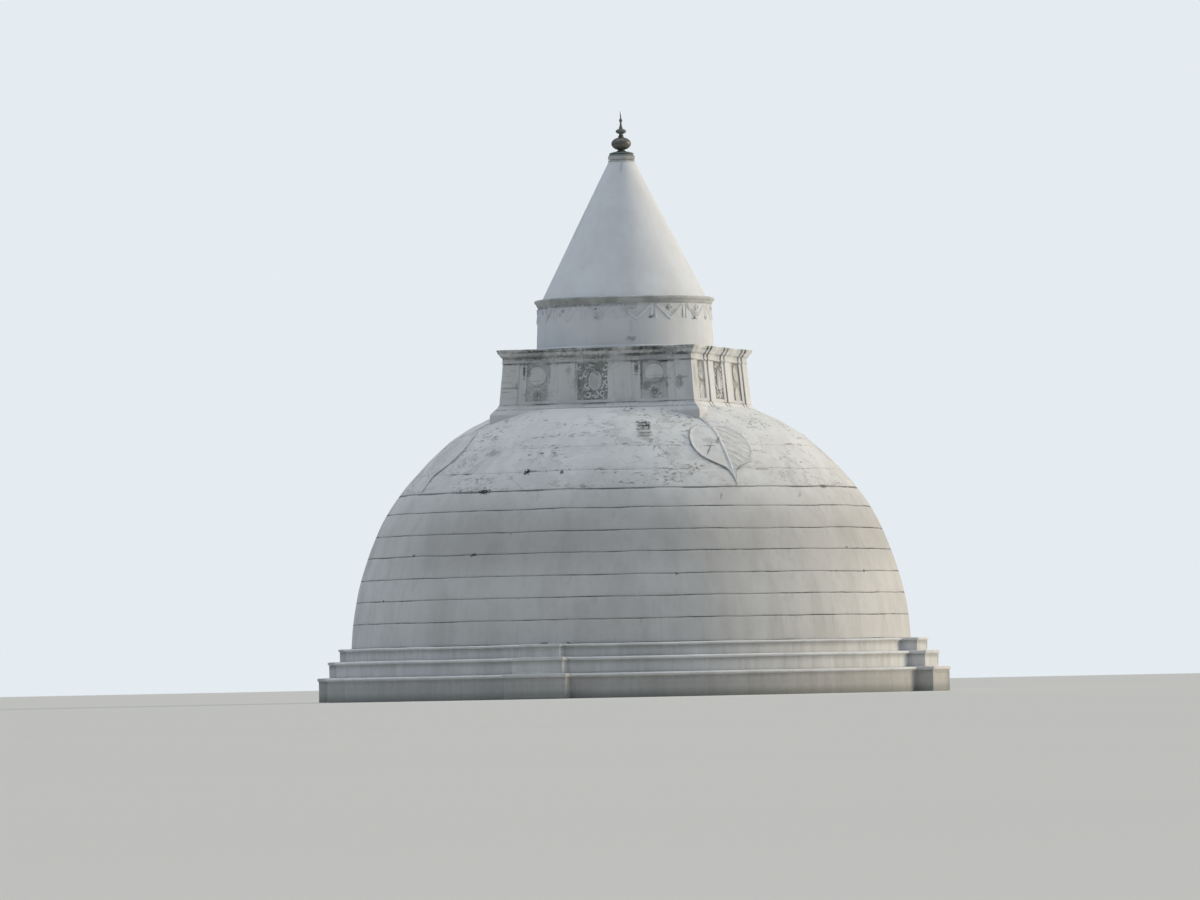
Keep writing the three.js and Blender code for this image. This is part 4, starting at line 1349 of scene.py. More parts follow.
class STUPA_OT_tower_faces(bpy.types.Operator):
    """Adds the corner piers and the panelled faces, with discs, rosettes, ovals and scrolled foliage"""

    bl_idname = "stupa.tower_faces"
    bl_label = "Tower faces"
    bl_options = {"REGISTER", "UNDO"}

    # Widths of the ledges beside each panel, on its left and its right.
    ledges = ((0.34, 0.46), (0.1, 0.32), (0.4, 0.38))
    wall_back = 4.503
    disc_places = (-2.93, 2.8)
    oval_place = -0.085
    # Scrolls of the middle panel: place, size, turn and start.
    scrolls = (
        ((-0.52, 15.62), 0.15, -5.2, 1.2),
        ((-0.24, 15.55), 0.13, 6.0, 0.3),
        ((-0.55, 15.22), 0.13, 5.4, 2.0),
        ((-0.52, 14.72), 0.15, -6.0, 0.4),
        ((-0.44, 14.3), 0.19, 5.8, 3.4),
        ((-0.08, 14.22), 0.17, -6.2, 1.7),
        ((0.27, 14.28), 0.16, 6.2, 0.9),
        ((0.4, 14.66), 0.13, -5.6, 2.6),
        ((0.42, 15.05), 0.13, 6.0, 4.4),
        ((0.36, 15.5), 0.12, -5.0, 0.2),
        ((-0.82, 15.5), 0.13, 5.4, 1.0),
        ((-0.8, 15.12), 0.1, -5.2, 0.6),
    )
    # Steps of the bosses: how far each goes in and how far it rises.
    disc_steps = ((0.0, 0.07), (0.02, 0.02), (0.045, 0), (0.02, -0.03), (0.3, 0.03), (0.06, 0.004))
    oval_steps = ((0.0, 0.085), (0.015, 0.02), (0.04, 0), (0.015, -0.03), (0.12, 0.035), (0.1, 0.02))
    ground_steps = ((0.0, 0.045), (0.02, 0.01))
    petal_steps = ((0.0, 0.05), (0.03, 0.03), (0.04, 0.012))
    button_steps = ((0.0, 0.09), (0.02, 0.02), (0.03, 0.012))
    lump_steps = ((0, 0.05), (0.012, 0.03), (0.015, 0.01))

    # Growth on the front face: centre, reach and strength.
    face_growth = (
        ((-3.6, -4.6, 15.45), (0.07, 0.5, 0.34), 0.95),
        ((-3.36, -4.6, 15.4), (0.13, 0.5, 0.26), 0.5),
        ((-2.34, -4.6, 15.3), (0.06, 0.5, 0.5), 0.5),
        ((-2.93, -4.6, 14.98), (0.36, 0.5, 0.02), 0.45),
        ((-2.93, -4.6, 14.84), (0.3, 0.5, 0.02), 0.4),
        ((3.0, -4.6, 15.1), (0.4, 0.5, 0.02), 0.5),
        ((2.95, -4.6, 14.8), (0.45, 0.5, 0.025), 0.5),
        ((-2.95, -4.6, 14.32), (0.24, 0.5, 0.24), 0.4),
        ((-1.4, -4.7, 15.45), (0.15, 0.5, 0.22), 0.32),
        ((-1.0, -4.6, 15.2), (0.07, 0.5, 0.45), 0.4),
        ((-0.88, -4.6, 14.6), (0.13, 0.5, 0.4), 0.16),
        ((1.94, -4.6, 15.5), (0.13, 0.5, 0.34), 0.75),
        ((2.19, -4.6, 15.15), (0.07, 0.5, 0.75), 0.65),
        ((2.42, -4.6, 14.63), (0.24, 0.5, 0.26), 0.5),
        ((2.86, -4.6, 14.32), (0.3, 0.5, 0.27), 0.65),
        ((3.1, -4.6, 14.93), (0.5, 0.5, 0.1), 0.45),
        ((3.3, -4.7, 15.76), (0.4, 0.5, 0.07), 0.9),
        ((3.45, -4.6, 14.62), (0.07, 0.5, 0.2), 0.55),
        ((4.6, -3.0, 15.4), (0.5, 0.4, 0.42), 0.4),
        ((4.6, -2.75, 14.88), (0.5, 0.45, 0.06), 0.4),
        ((4.6, -2.9, 14.2), (0.5, 0.4, 0.3), 0.2),
        ((4.6, -0.2, 15.3), (0.5, 0.4, 0.5), 0.28),
        ((4.6, 2.7, 15.3), (0.5, 0.4, 0.4), 0.2),
    )
    face_greens = (
        ((-2.95, -4.6, 14.35), (0.7, 0.5, 0.4), 0.3),
        ((-2.95, -4.6, 15.3), (0.75, 0.5, 0.5), 0.05),
        ((-0.085, -4.7, 14.93), (0.34, 0.5, 0.5), 0.3),
        ((-0.95, -4.6, 14.8), (0.25, 0.5, 0.3), 0.18),
        ((-0.2, -4.6, 15.5), (0.7, 0.5, 0.3), 0.25),
        ((2.8, -4.6, 14.7), (0.6, 0.5, 0.3), 0.14),
    )
    pier_growth = (
        ((4.2, -4.8, 14.97), (0.26, 0.6, 0.09), 0.5),
        ((4.08, -4.8, 14.75), (0.2, 0.6, 0.34), 0.5),
        ((-4.46, -4.8, 14.95), (0.3, 0.6, 0.025), 0.35),
        ((-4.5, -4.8, 14.5), (0.28, 0.6, 0.03), 0.35),
        ((4.8, -4.25, 15.1), (0.4, 0.25, 0.7), 0.3),
        ((-4.3, -4.8, 15.78), (0.25, 0.6, 0.03), 0.3),
        ((-4.2, -4.8, 15.5), (0.2, 0.6, 0.035), 0.22),
        ((-4.4, -4.8, 15.25), (0.2, 0.6, 0.03), 0.15),
        ((-4.2, -4.8, 14.68), (0.6, 0.6, 0.045), 0.5),
        ((-3.95, -4.8, 14.75), (0.1, 0.6, 0.16), 0.4),
        ((-4.1, -4.8, 14.2), (0.4, 0.6, 0.03), 0.2),
    )

    def execute(self, context):
        sizes = context.scene.tower_sizes
        self.foot, self.top = sizes.wall_foot, top_of("tower_core")
        self.half = half_of("pier_front_right")
        self.ground = self.half - sizes.recess
        # Both seams are soot with painted shade: at the joint with the plinth, and under the frieze.
        seams = ((self.foot + 0.02, 0.022, 0.7), (self.top - 0.03, 0.025, 0.6))
        pier_wash = tower_plaster("pier_whitewash", 0.05, seams=seams, spots=self.pier_growth)
        growth = {"spots": self.face_growth, "greens": self.face_greens}
        panel_wash = tower_plaster("panel_whitewash", 0.04, seams=seams, panels=True, **growth)
        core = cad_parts["tower_core"]
        core.data.materials.clear()
        core.data.materials.append(tower_plaster("core_whitewash", 0.5))
        start = self.half - sizes.pier_width
        pier = box("pier", (start, -self.half, self.foot), (self.half, -start, self.top))
        with shaping(pier):
            pick(pier, "faces", lambda f: f.normal.y < -0.9 or f.normal.x > 0.9)
            bpy.ops.mesh.inset(thickness=0.14, depth=0, use_individual=True)
            bpy.ops.mesh.inset(thickness=0.02, depth=-0.006, use_individual=True)
        soften(pier, 0.012)
        refine(pier, 3)
        uneven(pier, 0.025, 0.9)
        uneven(pier, 0.02, 0.25)
        note_bays(pier)
        self.batter(pier)
        for piece, corner in zip(four_times(pier, CORNERS, "_pier_plaster"), CORNERS):
            finish(piece, pier_wash, "whitewash", "pier_" + corner)
        patterns = [self.facing(rosettes=True), self.facing(rosettes=False)]
        for i, face in enumerate(FACES):
            turn = Matrix.Rotation(i * QUARTER_TURN, 4, "Z")
            piece = copied(patterns[i % 2], face + "_facing_plaster", turn)
            finish(piece, panel_wash, "weathered_plaster", face + "_facing")
        for pattern in patterns:
            bpy.data.objects.remove(pattern)
        return {"FINISHED"}

    def facing(self, rosettes):
        """The wall and its reliefs; the side faces have more discs instead of rosettes."""
        facing = joined("facing", [self.wall(), *self.reliefs(rosettes)])
        note(facing, "bay", [v.co.x for v in facing.data.vertices])
        note(facing, "depth", [self.half + v.co.y for v in facing.data.vertices])
        self.batter(facing)
        return facing

    def batter(self, piece):
        """Spreads a piece towards its foot."""
        spread = bpy.context.scene.tower_sizes.batter / self.half
        for vertex in piece.data.vertices:
            share = 1 + spread * (self.top - vertex.co.z) / (self.top - self.foot)
            vertex.co.x *= share
            vertex.co.y *= share

    def wall(self):
        """The wall of one face: three panels, each sunk in two steps, between two pilasters."""
        sizes = bpy.context.scene.tower_sizes
        edge = self.half - sizes.pier_width - 0.002
        wall = box("facing_wall", (-edge, -self.half, self.foot), (edge, -self.wall_back, self.top))
        pilasters = (sizes.left_pilaster, sizes.right_pilaster)
        starts = (-edge, *(left + sizes.pilaster_width for left in pilasters))
        ends = (*pilasters, edge)
        with shaping(wall):
            for x in starts[1:] + ends[:-1]:
                bpy.ops.mesh.select_all(action="SELECT")
                bpy.ops.mesh.bisect(plane_co=(x, 0, 0), plane_no=(1, 0, 0))
            for start, end, (near, far) in zip(starts, ends, self.ledges):
                middle = (start + end) / 2
                pick(
                    wall,
                    "faces",
                    lambda f: f.normal.y < -0.9 and abs(f.calc_center_median().x - middle) < 0.1,
                )
                for thickness, depth in ((0.006, 0), (0.004, -sizes.recess / 2), (0.02, 0)):
                    bpy.ops.mesh.inset(thickness=thickness, depth=depth)
                wide, tall = end - start - 0.06, self.top - self.foot - 0.06
                narrower, lower = (wide - near - far) / wide, (tall - 0.13) / tall
                fixed = start + 0.03 + near / (1 - narrower)
                corner = (fixed, 0, self.top - 0.03)
                bpy.ops.transform.resize(value=(narrower, 1, lower), center_override=corner)
                bpy.ops.mesh.inset(thickness=0.008, depth=-sizes.recess / 2)
        soften(wall, 0.006)
        refine(wall, 2)
        uneven(wall, 0.02, 0.7)
        return wall

    def reliefs(self, rosettes):
        """Discs with sprays over rosettes or more discs, and the oval with its foliage."""
        sizes = bpy.context.scene.tower_sizes
        parts = []
        back = self.ground - 0.03
        high, low, radius = sizes.disc_height, sizes.rosette_height, sizes.disc_radius
        for x in self.disc_places:
            if rosettes:
                parts.append(boss("disc", x, high, radius, back, self.disc_steps))
                parts.append(boss("rosette_ground", x, low, radius * 0.85, back, self.ground_steps))
                parts += self.rosette(x, low, sizes.rosette_radius, back + 0.03)
            else:
                for z in (high + 0.09, low - 0.04):
                    parts.append(boss("disc", x, z, radius * 0.88, back, self.disc_steps))
            parts += self.corner_sprays(x, high)
        wide = sizes.oval_half_width
        tall = sizes.oval_half_height / wide
        centre = (self.oval_place, sizes.oval_height)
        parts.append(boss("oval", *centre, wide, back, self.oval_steps, stretch=tall))
        parts += self.foliage()
        for part in parts:
            uneven(part, 0.016, 0.22)
        return parts

    def rosette(self, x, z, radius, back):
        """A flower of eight petals round a button."""
        parts = []
        for k in range(8):
            angle, reach = k * math.tau / 8, radius * 0.62
            place = (x + reach * math.cos(angle), z + reach * math.sin(angle))
            parts.append(boss("petal", *place, radius * 0.36, back, self.petal_steps, sides=14))
        parts.append(boss("button", x, z, radius * 0.3, back, self.button_steps, sides=16))
        return parts

    def spiral(self, x, z, size, turn, start, depth, width, side=1):
        """A scroll that winds in to its centre."""
        points, radii = [], []
        for share in spread(0, 1, 25):
            angle, reach = start + turn * share, size * (1 - 0.82 * share)
            points.append((x + side * reach * math.cos(angle), depth, z + reach * math.sin(angle)))
            radii.append(width * (0.55 + 0.45 * math.sin(math.pi * min(share * 1.3, 1))))
        return rope("scroll", points, radii)

    def corner_sprays(self, x, z):
        """Small scrolls beside the head and the foot of an outer panel's disc."""
        return [
            self.spiral(x + sx * 0.46, z + sz * 0.42, 0.11, 5.2, 0.6, self.ground + 0.01, 0.03, side=sx)
            for sx in (-1, 1)
            for sz in (-1, 1)
        ]

    def foliage(self):
        """Scrolls and leaf lumps that fill the middle panel round its oval."""
        sizes = bpy.context.scene.tower_sizes
        rng = random.Random(11)
        depth = self.ground + 0.015
        parts = [
            self.spiral(*place, size, turn, start, depth, 0.048)
            for place, size, turn, start in self.scrolls
        ]
        low, high = self.foot + 0.24, self.top - 0.12
        wide, tall = sizes.oval_half_width + 0.05, sizes.oval_half_height + 0.05
        for _ in range(34):
            x, z = rng.uniform(-0.64, 0.46), rng.uniform(low, high)
            if ((x - self.oval_place) / wide) ** 2 + ((z - sizes.oval_height) / tall) ** 2 >= 1:
                size = rng.uniform(0.04, 0.075)
                back = self.ground - 0.02
                parts.append(boss("lump", x, z, size, back, self.lump_steps, sides=10))
        return parts


class STUPA_OT_tower_head(bpy.types.Operator):
    """Adds the frieze and the cornice of the tower"""

    bl_idname = "stupa.tower_head"
    bl_label = "Tower frieze and cornice"
    bl_options = {"REGISTER", "UNDO"}

    # Growth on the front mouldings: centre, reach and strength.
    bed_growth = (
        ((-2.95, -4.8, 16.07), (0.5, 0.5, 0.1), 0.8),
        ((-3.9, -4.8, 16.07), (0.4, 0.5, 0.08), 0.55),
        ((0, -4.8, 16.03), (0.6, 0.5, 0.09), 0.5),
        ((1.92, -4.8, 16.12), (0.5, 0.5, 0.07), 0.7),
        ((3.07, -4.8, 16.14), (0.6, 0.5, 0.08), 0.75),
        ((4.12, -4.8, 16.1), (0.56, 0.5, 0.07), 0.75),
        ((2.6, -4.8, 15.9), (0.4, 0.5, 0.1), 0.35),
        ((3.5, -4.8, 15.8), (0.4, 0.5, 0.06), 0.5),
    )
    top_growth = (
        ((-3.6, -4.8, 16.32), (0.5, 0.6, 0.06), 0.3),
        ((-2.75, -4.8, 16.37), (0.55, 0.6, 0.06), 0.8),
        ((0, -4.8, 16.4), (0.6, 0.6, 0.07), 0.5),
        ((2.5, -4.8, 16.4), (0.7, 0.6, 0.1), 0.7),
        ((3.5, -4.8, 16.3), (0.8, 0.6, 0.16), 0.45),
        ((4.3, -4.8, 16.48), (0.4, 0.6, 0.06), 0.5),
        ((4.8, -3.2, 16.1), (0.5, 0.9, 0.12), 0.35),
        ((4.8, -2.6, 16.35), (0.5, 0.8, 0.06), 0.35),
        ((4.8, 1.5, 16.1), (0.5, 1.2, 0.06), 0.3),
    )
    greens = (
        ((-2.9, -4.8, 16.15), (1.0, 0.5, 0.3), 0.35),
        ((-0.05, -4.8, 16.4), (0.65, 0.6, 0.1), 0.6),
        ((-0.1, -4.8, 16.05), (0.8, 0.5, 0.14), 0.4),
        ((3.0, -4.8, 16.2), (1.3, 0.5, 0.3), 0.3),
    )

    def execute(self, context):
        sizes = context.scene.tower_sizes
        shape = (sizes.break_depth, 0.01, ((0.035, 1.2), (0.02, 0.3)))
        foot, top, half = foot_of("tower_frieze"), top_of("tower_frieze"), half_of("tower_frieze")
        # The seams under the cornice and at the foot are painted shade with soot; the middle one is
        # soot.
        seams = ((top - 0.02, 0.07, 0.6), (foot, 0.03, 0.65), ((foot + top) / 2, 0.02, 0.3))
        wash = tower_plaster(
            "frieze_whitewash", 0.16, seams=seams, spots=self.bed_growth, greens=self.greens
        )
        profile = around(half, foot, ((0, 0), (0, 0.05), (-0.03, 0.065)))
        profile += around(half, top, ((-0.03, -0.03), (0, 0)))
        moulding("tower_frieze", profile, *shape, wash, "weathered_plaster")
        foot, top, half = foot_of("tower_cornice"), top_of("tower_cornice"), half_of("tower_cornice")
        # Both seams are painted shade under the corona, with soot.
        seams = ((foot, 0.06, 0.5), (foot + 0.23, 0.03, 0.4))
        growth = {"spots": self.bed_growth + self.top_growth, "greens": self.greens}
        wash = tower_plaster("cornice_whitewash", 0.42, seams=seams, top=top, **growth)
        bed = ((4.69, 0), (4.715, 0.02), (4.72, 0.05), (4.755, 0.1), (4.8, 0.16))
        bed += ((4.815, 0.165), (4.845, 0.23))
        lip = ((0.015, -0.085), (0.035, -0.075), (0.035, -0.015), (-0.1, 0))
        profile = around(0, foot, bed) + around(half, top, lip)
        moulding("tower_cornice", profile, *shape, wash, "lichen_plaster")
        return {"FINISHED"}


class STUPA_OT_drum(bpy.types.Operator):
    """Adds the drum: foot, wall, garland band with its reliefs, and cornice"""

    bl_idname = "stupa.drum"
    bl_label = "Drum"
    bl_options = {"REGISTER", "UNDO"}

    # Stains above the tower's cornice: centre, reach and strength.
    stains = (
        ((1.5, -3.92, 16.9), (0.22, 0.4, 0.13), 0.45),
        ((1.5, -3.92, 17.6), (0.08, 0.4, 0.5), 0.1),
    )
    # Dark marks in and under the garland, mostly soot; one inside a swag is painted shade.
    smudges = (
        ((-0.11, -4.1, 17.92), (0.22, 0.4, 0.1), 0.25),
        ((-2.85, -3.0, 18.1), (0.08, 0.3, 0.14), 0.2),
        ((-2.1, -3.55, 18.15), (0.1, 0.3, 0.12), 0.2),
        ((3.51, -2.15, 18.05), (0.05, 0.1, 0.28), 0.35),
        ((2.36, -3.38, 17.93), (0.1, 0.16, 0.1), 0.65),
        ((3.87, -1.4, 17.88), (0.1, 0.2, 0.09), 0.7),
        ((4.1, -0.44, 17.9), (0.1, 0.12, 0.07), 0.45),
        # Painted shade inside a swag:
        ((3.88, -1.4, 18.08), (0.15, 0.3, 0.24), 0.25),
        ((-0.16, -4.12, 18.33), (0.1, 0.2, 0.06), 0.45),
        ((1.54, -3.82, 18.33), (0.1, 0.2, 0.05), 0.35),
        ((3.0, -2.82, 18.33), (0.08, 0.12, 0.05), 0.45),
        ((-1.93, -3.64, 18.3), (0.1, 0.2, 0.1), 0.35),
        ((-2.68, -3.13, 18.33), (0.1, 0.2, 0.1), 0.25),
        ((-3.29, -2.49, 18.25), (0.1, 0.15, 0.1), 0.25),
    )

    def execute(self, context):
        foot, top = foot_of("drum_foot"), top_of("drum_foot")
        self.low, self.high = top, foot_of("drum_cornice")
        self.low_radius, self.high_radius = half_of("drum_wall"), context.scene.spire_sizes.drum_head
        wash = drum_plaster("drum_foot_whitewash", 0, 1, 0.05)
        profile = [(4.28, foot), (4.282, foot + 0.05), (4.262, foot + 0.085), (4.225, top)]
        finish(self.ring("drum_foot", profile, 0.01), wash, "whitewash", "drum_foot")
        joint = foot_of("garland_band")
        wash = drum_plaster("drum_whitewash", self.low, self.high, 0.1, self.stains)
        finish(self.wall("drum_wall", self.low, joint, 12), wash, "whitewash", "drum_wall")
        wash = drum_plaster("garland_whitewash", joint, joint + 0.25, 0.25, self.smudges)
        wall = self.wall("garland_band", joint, self.high, 8)
        band = joined("garland_band_plaster", [wall, self.garlands()])
        finish(band, wash, "weathered_plaster", "garland_band")
        foot, top, lip = self.high, top_of("drum_cornice"), half_of("drum_cornice")
        bed = ((0, 0), (0.035, 0.01), (0.04, 0.05), (0.065, 0.07), (0.085, 0.14))
        nosing = ((-0.03, 0.19), (-0.005, 0.21), (0, 0.28), (-0.02, 0.315))
        profile = around(self.high_radius, foot, bed) + around(lip, foot, nosing)
        profile += [(lip - 0.12, top), (half_of("cone_spire") - 0.02, top + 0.01)]
        wash = lichened("drum_cornice_lichen", 0.46)
        finish(self.ring("drum_cornice", profile, 0.006), wash, "lichen_plaster", "drum_cornice")
        return {"FINISHED"}

    def wall_radius(self, height):
        share = (height - self.low) / (self.high - self.low)
        return self.low_radius + (self.high_radius - self.low_radius) * share

    def ring(self, node, profile, rounding=0):
        piece = turned(node + "_plaster", profile)
        if rounding:
            soften(piece, rounding)
        uneven(piece, 0.025, 1.4)
        return piece

    def wall(self, node, low, high, steps):
        """The drum's wall between two heights."""
        return self.ring(node, [(self.wall_radius(z), z) for z in spread(low, high, steps)])

    def garlands(self):
        """One bay of the garland, drawn flat, then copied and laid round the drum."""
        sizes = bpy.context.scene.spire_sizes
        width = math.tau / sizes.bays * self.high_radius
        reach, head = width * 0.41, self.high - 0.04
        swag, radii = [], []
        for share in spread(-1, 1, 28):
            sag = (1 - abs(share) ** 1.05) * sizes.swag_drop
            swag.append((share * reach, 0.005, head - 0.06 - sag))
            radii.append(0.042 + 0.034 * (1 - abs(share)) ** 0.8)
        parts = [rope("swag", swag, radii)]
        upper = [(x, depth, z + 0.08 + 0.08 * (1 - abs(x) / reach)) for x, depth, z in swag]
        parts.append(rope("inner_swag", upper, [r * 0.45 for r in radii]))
        ring = ((0, 0.045), (0.02, 0.02), (0.03, 0), (0.015, -0.03), (0.03, 0.012))
        parts.append(boss("medallion", 0, head - 0.17, 0.14, -0.02, ring, sides=24))
        for side in (-1, 1):
            falls = (0.02, 0.2, 0.34, 0.46, 0.55, 0.64, 0.68)
            drop = [(width / 2 + side * 0.1, 0.005, head - fall) for fall in falls]
            parts.append(rope("tassel", drop, (0.034, 0.028, 0.03, 0.042, 0.06, 0.052, 0.024)))
        bay = joined("garland_bay", parts)
        moves = [Matrix.Translation((k * width, 0, 0)) for k in range(1, sizes.bays)]
        garlands = joined("garlands", [bay] + [copied(bay, "garland_bay_copy", move) for move in moves])
        for vertex in garlands.data.vertices:
            x, depth, z = vertex.co.x, -vertex.co.y, vertex.co.z
            angle = x / self.high_radius + sizes.garland_turn
            radius = self.wall_radius(z) + depth
            vertex.co = (radius * math.sin(angle), -radius * math.cos(angle), z)
        return garlands


class STUPA_OT_cone(bpy.types.Operator):
    """Adds the cone and its collar"""

    bl_idname = "stupa.cone"
    bl_label = "Cone"
    bl_options = {"REGISTER", "UNDO"}

    def execute(self, context):
        foot, top = foot_of("cone_spire"), top_of("cone_spire")
        wide, narrow = half_of("cone_spire"), context.scene.spire_sizes.cone_head
        profile = [
            (wide + (narrow - wide) * (z - foot) / (top - foot), z) for z in spread(foot, top, 30)
        ]
        cone = turned("cone_spire_plaster", profile)
        uneven(cone, 0.03, 1.8)
        finish(cone, cone_plaster("cone_whitewash"), "whitewash", "cone_spire")
        foot, top = foot_of("spire_collar"), top_of("spire_collar")
        wide, step = half_of("spire_collar"), (top - foot) / 10
        lower = ((-0.03, 0), (0, 0.3), (0, 0.9), (-0.03, 1.3), (-0.07, 1.6), (-0.07, 2.3), (-0.03, 2.7))
        upper = ((-0.014, 3.4), (-0.012, 6.2), (-0.025, 7.2), (-0.06, 8.6))
        profile = [(wide + out, foot + up * step) for out, up in lower + upper] + [(wide - 0.11, top)]
        collar = turned("spire_collar_plaster", profile, 128)
        soften(collar, 0.008)
        wash = lichened("collar_lichen", 0.34, foot + 6.6 * step)
        finish(collar, wash, "whitewash", "spire_collar")
        return {"FINISHED"}


class STUPA_OT_pinnacle(bpy.types.Operator):
    """Adds the brass pinnacle and the crystal on its tip"""

    bl_idname = "stupa.pinnacle"
    bl_label = "Pinnacle"
    bl_options = {"REGISTER", "UNDO"}

    def execute(self, context):
        sizes = context.scene.spire_sizes
        green, brown = aged_brass("greened_brass", 0.75), aged_brass("aged_brass", 0.4)
        steps = ((0.585, 0), (0.582, 0.02), (0.54, 0.05), (0.4, 0.09), (0.26, 0.115))
        steps += ((0.19, 0.145), (0.16, 0.18))
        flange = around(0, foot_of("pinnacle_flange"), steps) + [(0.157, foot_of("great_orb"))]
        self.make("pinnacle_flange", flange, green)
        orb = self.orb(sizes.orb_height, sizes.orb_radius, 0.31, 0.157, 0.12)
        end, top = orb[-1][1], top_of("great_orb")
        rise = top - end
        orb += [(0.135, end + 0.02), (0.132, end + 0.4 * rise), (0.09, end + 0.65 * rise), (0.1, top)]
        self.make("great_orb", orb, brown)
        small = self.orb(sizes.small_orb_height, sizes.small_orb_radius, 0.13, 0.11, 0.1)
        self.make("small_orb", small, green)
        foot, top = foot_of("finial_spike"), top_of("finial_spike")
        spike = around(0, foot, ((0.098, 0), (0.09, 0.05), (0.062, 0.12), (0.048, 0.22)))
        spike += [(0.038, 27.35), (0.054, 27.38), (0.07, 27.41), (0.076, 27.45)]
        spike += [(0.07, 27.49), (0.05, 27.52)]
        spike += [(0.034, 27.56), (0.028, 27.62), (0.03, 27.66), (0.024, 27.69), (0.02, top)]
        self.make("finial_spike", spike, green, 64)
        foot, top = foot_of("crystal_tip"), top_of("crystal_tip")
        crystal = turned("crystal_tip_cut", [(0.022, foot), (0.042, 27.8), (0.03, 27.85), (0, top)], 8)
        soften(crystal, 0.004, 1)
        finish(crystal, rock_crystal("rock_crystal"), "crystal", "crystal_tip", angle=15)
        return {"FINISHED"}

    def orb(self, centre, radius, half_height, neck_below, neck_above):
        """The profile of a flattened orb between two necks."""
        angles = spread(-math.acos(neck_below / radius), math.acos(neck_above / radius), 28)
        return [(radius * math.cos(a), centre + half_height * math.sin(a)) for a in angles]

    def make(self, node, profile, brass, sides=128):
        finish(turned(node + "_metal", profile, sides), brass, "aged_brass", node)


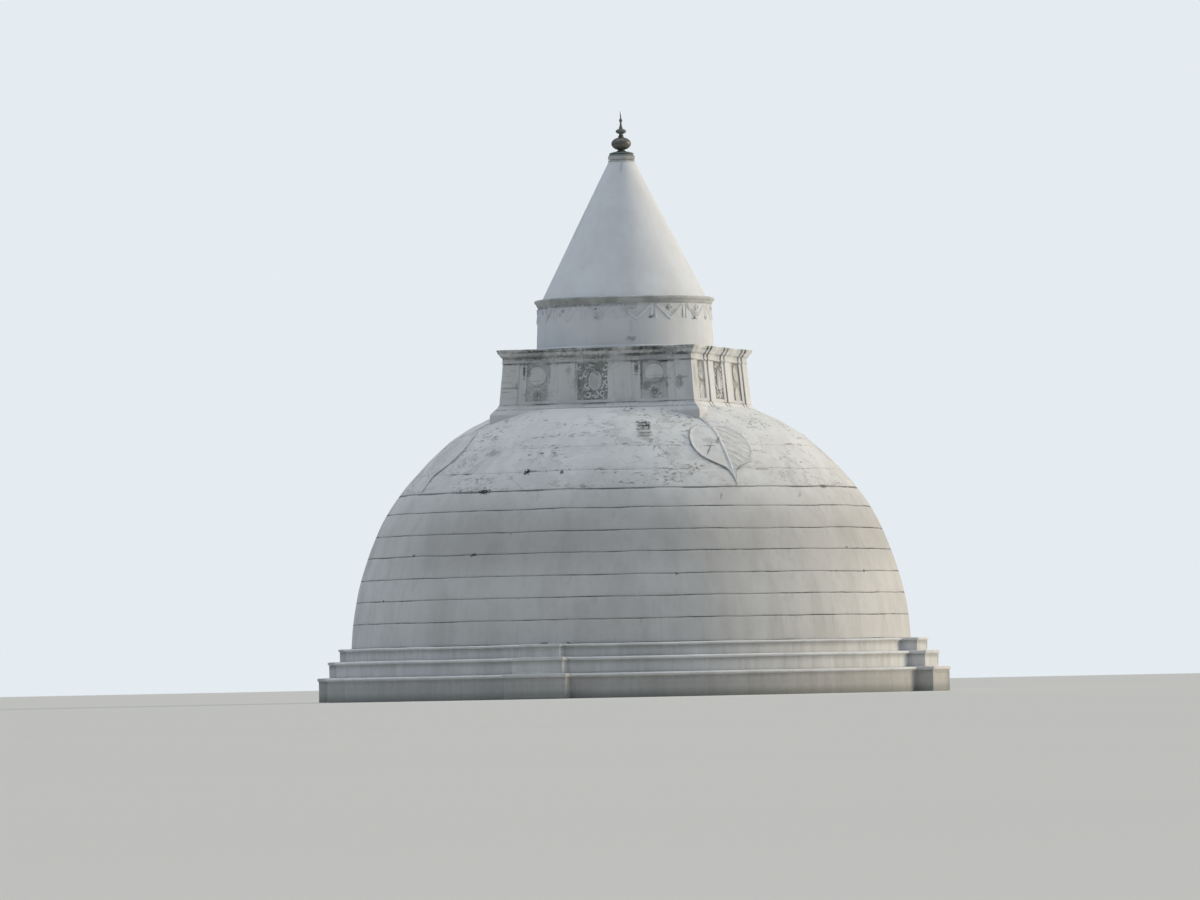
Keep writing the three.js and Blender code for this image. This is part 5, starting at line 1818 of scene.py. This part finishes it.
class STUPA_OT_stage(bpy.types.Operator):
    """Adds the floor, the light and the camera"""

    bl_idname = "stupa.stage"
    bl_label = "Stage"
    bl_options = {"REGISTER", "UNDO"}

    def execute(self, context):
        settings = context.scene.stage_settings
        self.floor(settings)
        self.backdrop(settings)
        self.lamp("key_light", "sun", settings.sun_strength, settings.sun_azimuth, settings.sun_height)
        self.lamp("rim_light", "rim", settings.rim_strength, settings.rim_azimuth, settings.rim_height)
        self.camera(settings)
        context.scene.view_settings.view_transform = "Standard"
        return {"FINISHED"}

    def floor(self, settings):
        size, place = settings.floor_radius, (0, 0, -0.002)
        bpy.ops.mesh.primitive_circle_add(vertices=128, radius=size, fill_type="NGON", location=place)
        floor = added("floor")
        floor.data.materials.append(floor_finish("floor_finish"))

    def backdrop(self, settings):
        """A pale backdrop for the camera, and soft light for the part, nearly all of it from above."""
        sky = Recipe("backdrop", world=True)
        light = sky.mix(sky.paint["side_light"], sky.paint["top_light"], sky.up.most(0) ** 4)
        inputs = {"Color": light, "Strength": settings.fill_strength}
        given = sky.node("ShaderNodeBackground", {}, inputs)
        seen = sky.node("ShaderNodeBackground", {}, {"Color": (*sky.paint["sky"], 1)})
        direct = sky.node("ShaderNodeLightPath", output="Is Camera Ray")
        choice = sky.node("ShaderNodeMixShader", {}, {0: direct, 1: given, 2: seen})
        sky.node("ShaderNodeOutputWorld", {}, {"Surface": choice})
        bpy.context.scene.world = sky.owner

    def lamp(self, name, colour, strength, azimuth, height):
        """A soft light from one side, far off."""
        light = bpy.data.lights.new(name, "SUN")
        light.color = colours()[colour]
        light.energy = strength
        light.angle = bpy.context.scene.stage_settings.light_spread
        lamp = bpy.data.objects.new(name, light)
        bpy.context.scene.collection.objects.link(lamp)
        towards = self.towards(azimuth) * math.cos(height) + Vector((0, 0, math.sin(height)))
        lamp.location = towards * 60
        lamp.rotation_euler = towards.to_track_quat("Z", "Y").to_euler()

    def towards(self, azimuth):
        """A level direction, turned from the front face towards +X."""
        return Vector((math.sin(azimuth), -math.cos(azimuth), 0))

    def camera(self, settings):
        """The photograph's long lens, low eye and slight roll."""
        lens = bpy.data.cameras.new("camera")
        lens.lens, lens.sensor_width = settings.lens_length, 36
        lens.clip_start, lens.clip_end = 1, 4000
        camera = bpy.data.objects.new("camera", lens)
        bpy.context.scene.collection.objects.link(camera)
        pixels = lens.lens / lens.sensor_width * IMAGE_WIDTH
        yaw = settings.view_azimuth + math.atan((AXIS_PIXEL - IMAGE_WIDTH / 2) / pixels)
        pitch = math.atan((HORIZON_PIXEL - IMAGE_HEIGHT / 2) / pixels)
        place = self.towards(settings.view_azimuth) * settings.view_distance
        place.z = settings.eye_height
        turns = ((yaw, "Z"), (QUARTER_TURN + pitch, "X"), (settings.camera_roll, "Z"))
        camera.matrix_world = Matrix.Translation(place)
        for turn, axis in turns:
            camera.matrix_world @= Matrix.Rotation(turn, 4, axis)
        bpy.context.scene.camera = camera


class STUPA_PT_parts(bpy.types.Panel):
    """Lists the parts of the stupa and their sizes"""

    bl_idname = "STUPA_PT_parts"
    bl_label = "Stupa"
    bl_space_type = "VIEW_3D"
    bl_region_type = "UI"
    bl_category = "Stupa"

    def draw(self, context):
        layout = self.layout
        for operator in OPERATORS:
            layout.operator(operator.bl_idname, text=operator.bl_label)
        for name, group in GROUPS.items():
            box_layout = layout.box()
            for prop in group.__annotations__:
                box_layout.prop(getattr(context.scene, name), prop)


OPERATORS = (
    STUPA_OT_terraces,
    STUPA_OT_dome,
    STUPA_OT_leaves,
    STUPA_OT_tower_foot,
    STUPA_OT_tower_faces,
    STUPA_OT_tower_head,
    STUPA_OT_drum,
    STUPA_OT_cone,
    STUPA_OT_pinnacle,
    STUPA_OT_stage,
)
GROUPS = {
    "dome_sizes": DomeSizes,
    "tower_sizes": TowerSizes,
    "spire_sizes": SpireSizes,
    "finishes": Finishes,
    "stage_settings": StageSettings,
}


def register():
    for group in GROUPS.values():
        bpy.utils.register_class(group)
    for name, group in GROUPS.items():
        setattr(bpy.types.Scene, name, bpy.props.PointerProperty(type=group))
    for operator in OPERATORS:
        bpy.utils.register_class(operator)
    bpy.utils.register_class(STUPA_PT_parts)


def unregister():
    bpy.utils.unregister_class(STUPA_PT_parts)
    for operator in reversed(OPERATORS):
        bpy.utils.unregister_class(operator)
    for name, group in reversed(GROUPS.items()):
        delattr(bpy.types.Scene, name)
        bpy.utils.unregister_class(group)


def main():
    register()
    bpy.ops.stupa.terraces()
    bpy.ops.stupa.dome()
    bpy.ops.stupa.leaves()
    bpy.ops.stupa.tower_foot()
    bpy.ops.stupa.tower_faces()
    bpy.ops.stupa.tower_head()
    bpy.ops.stupa.drum()
    bpy.ops.stupa.cone()
    bpy.ops.stupa.pinnacle()
    bpy.ops.stupa.stage()


if __name__ == "__main__":
    main()
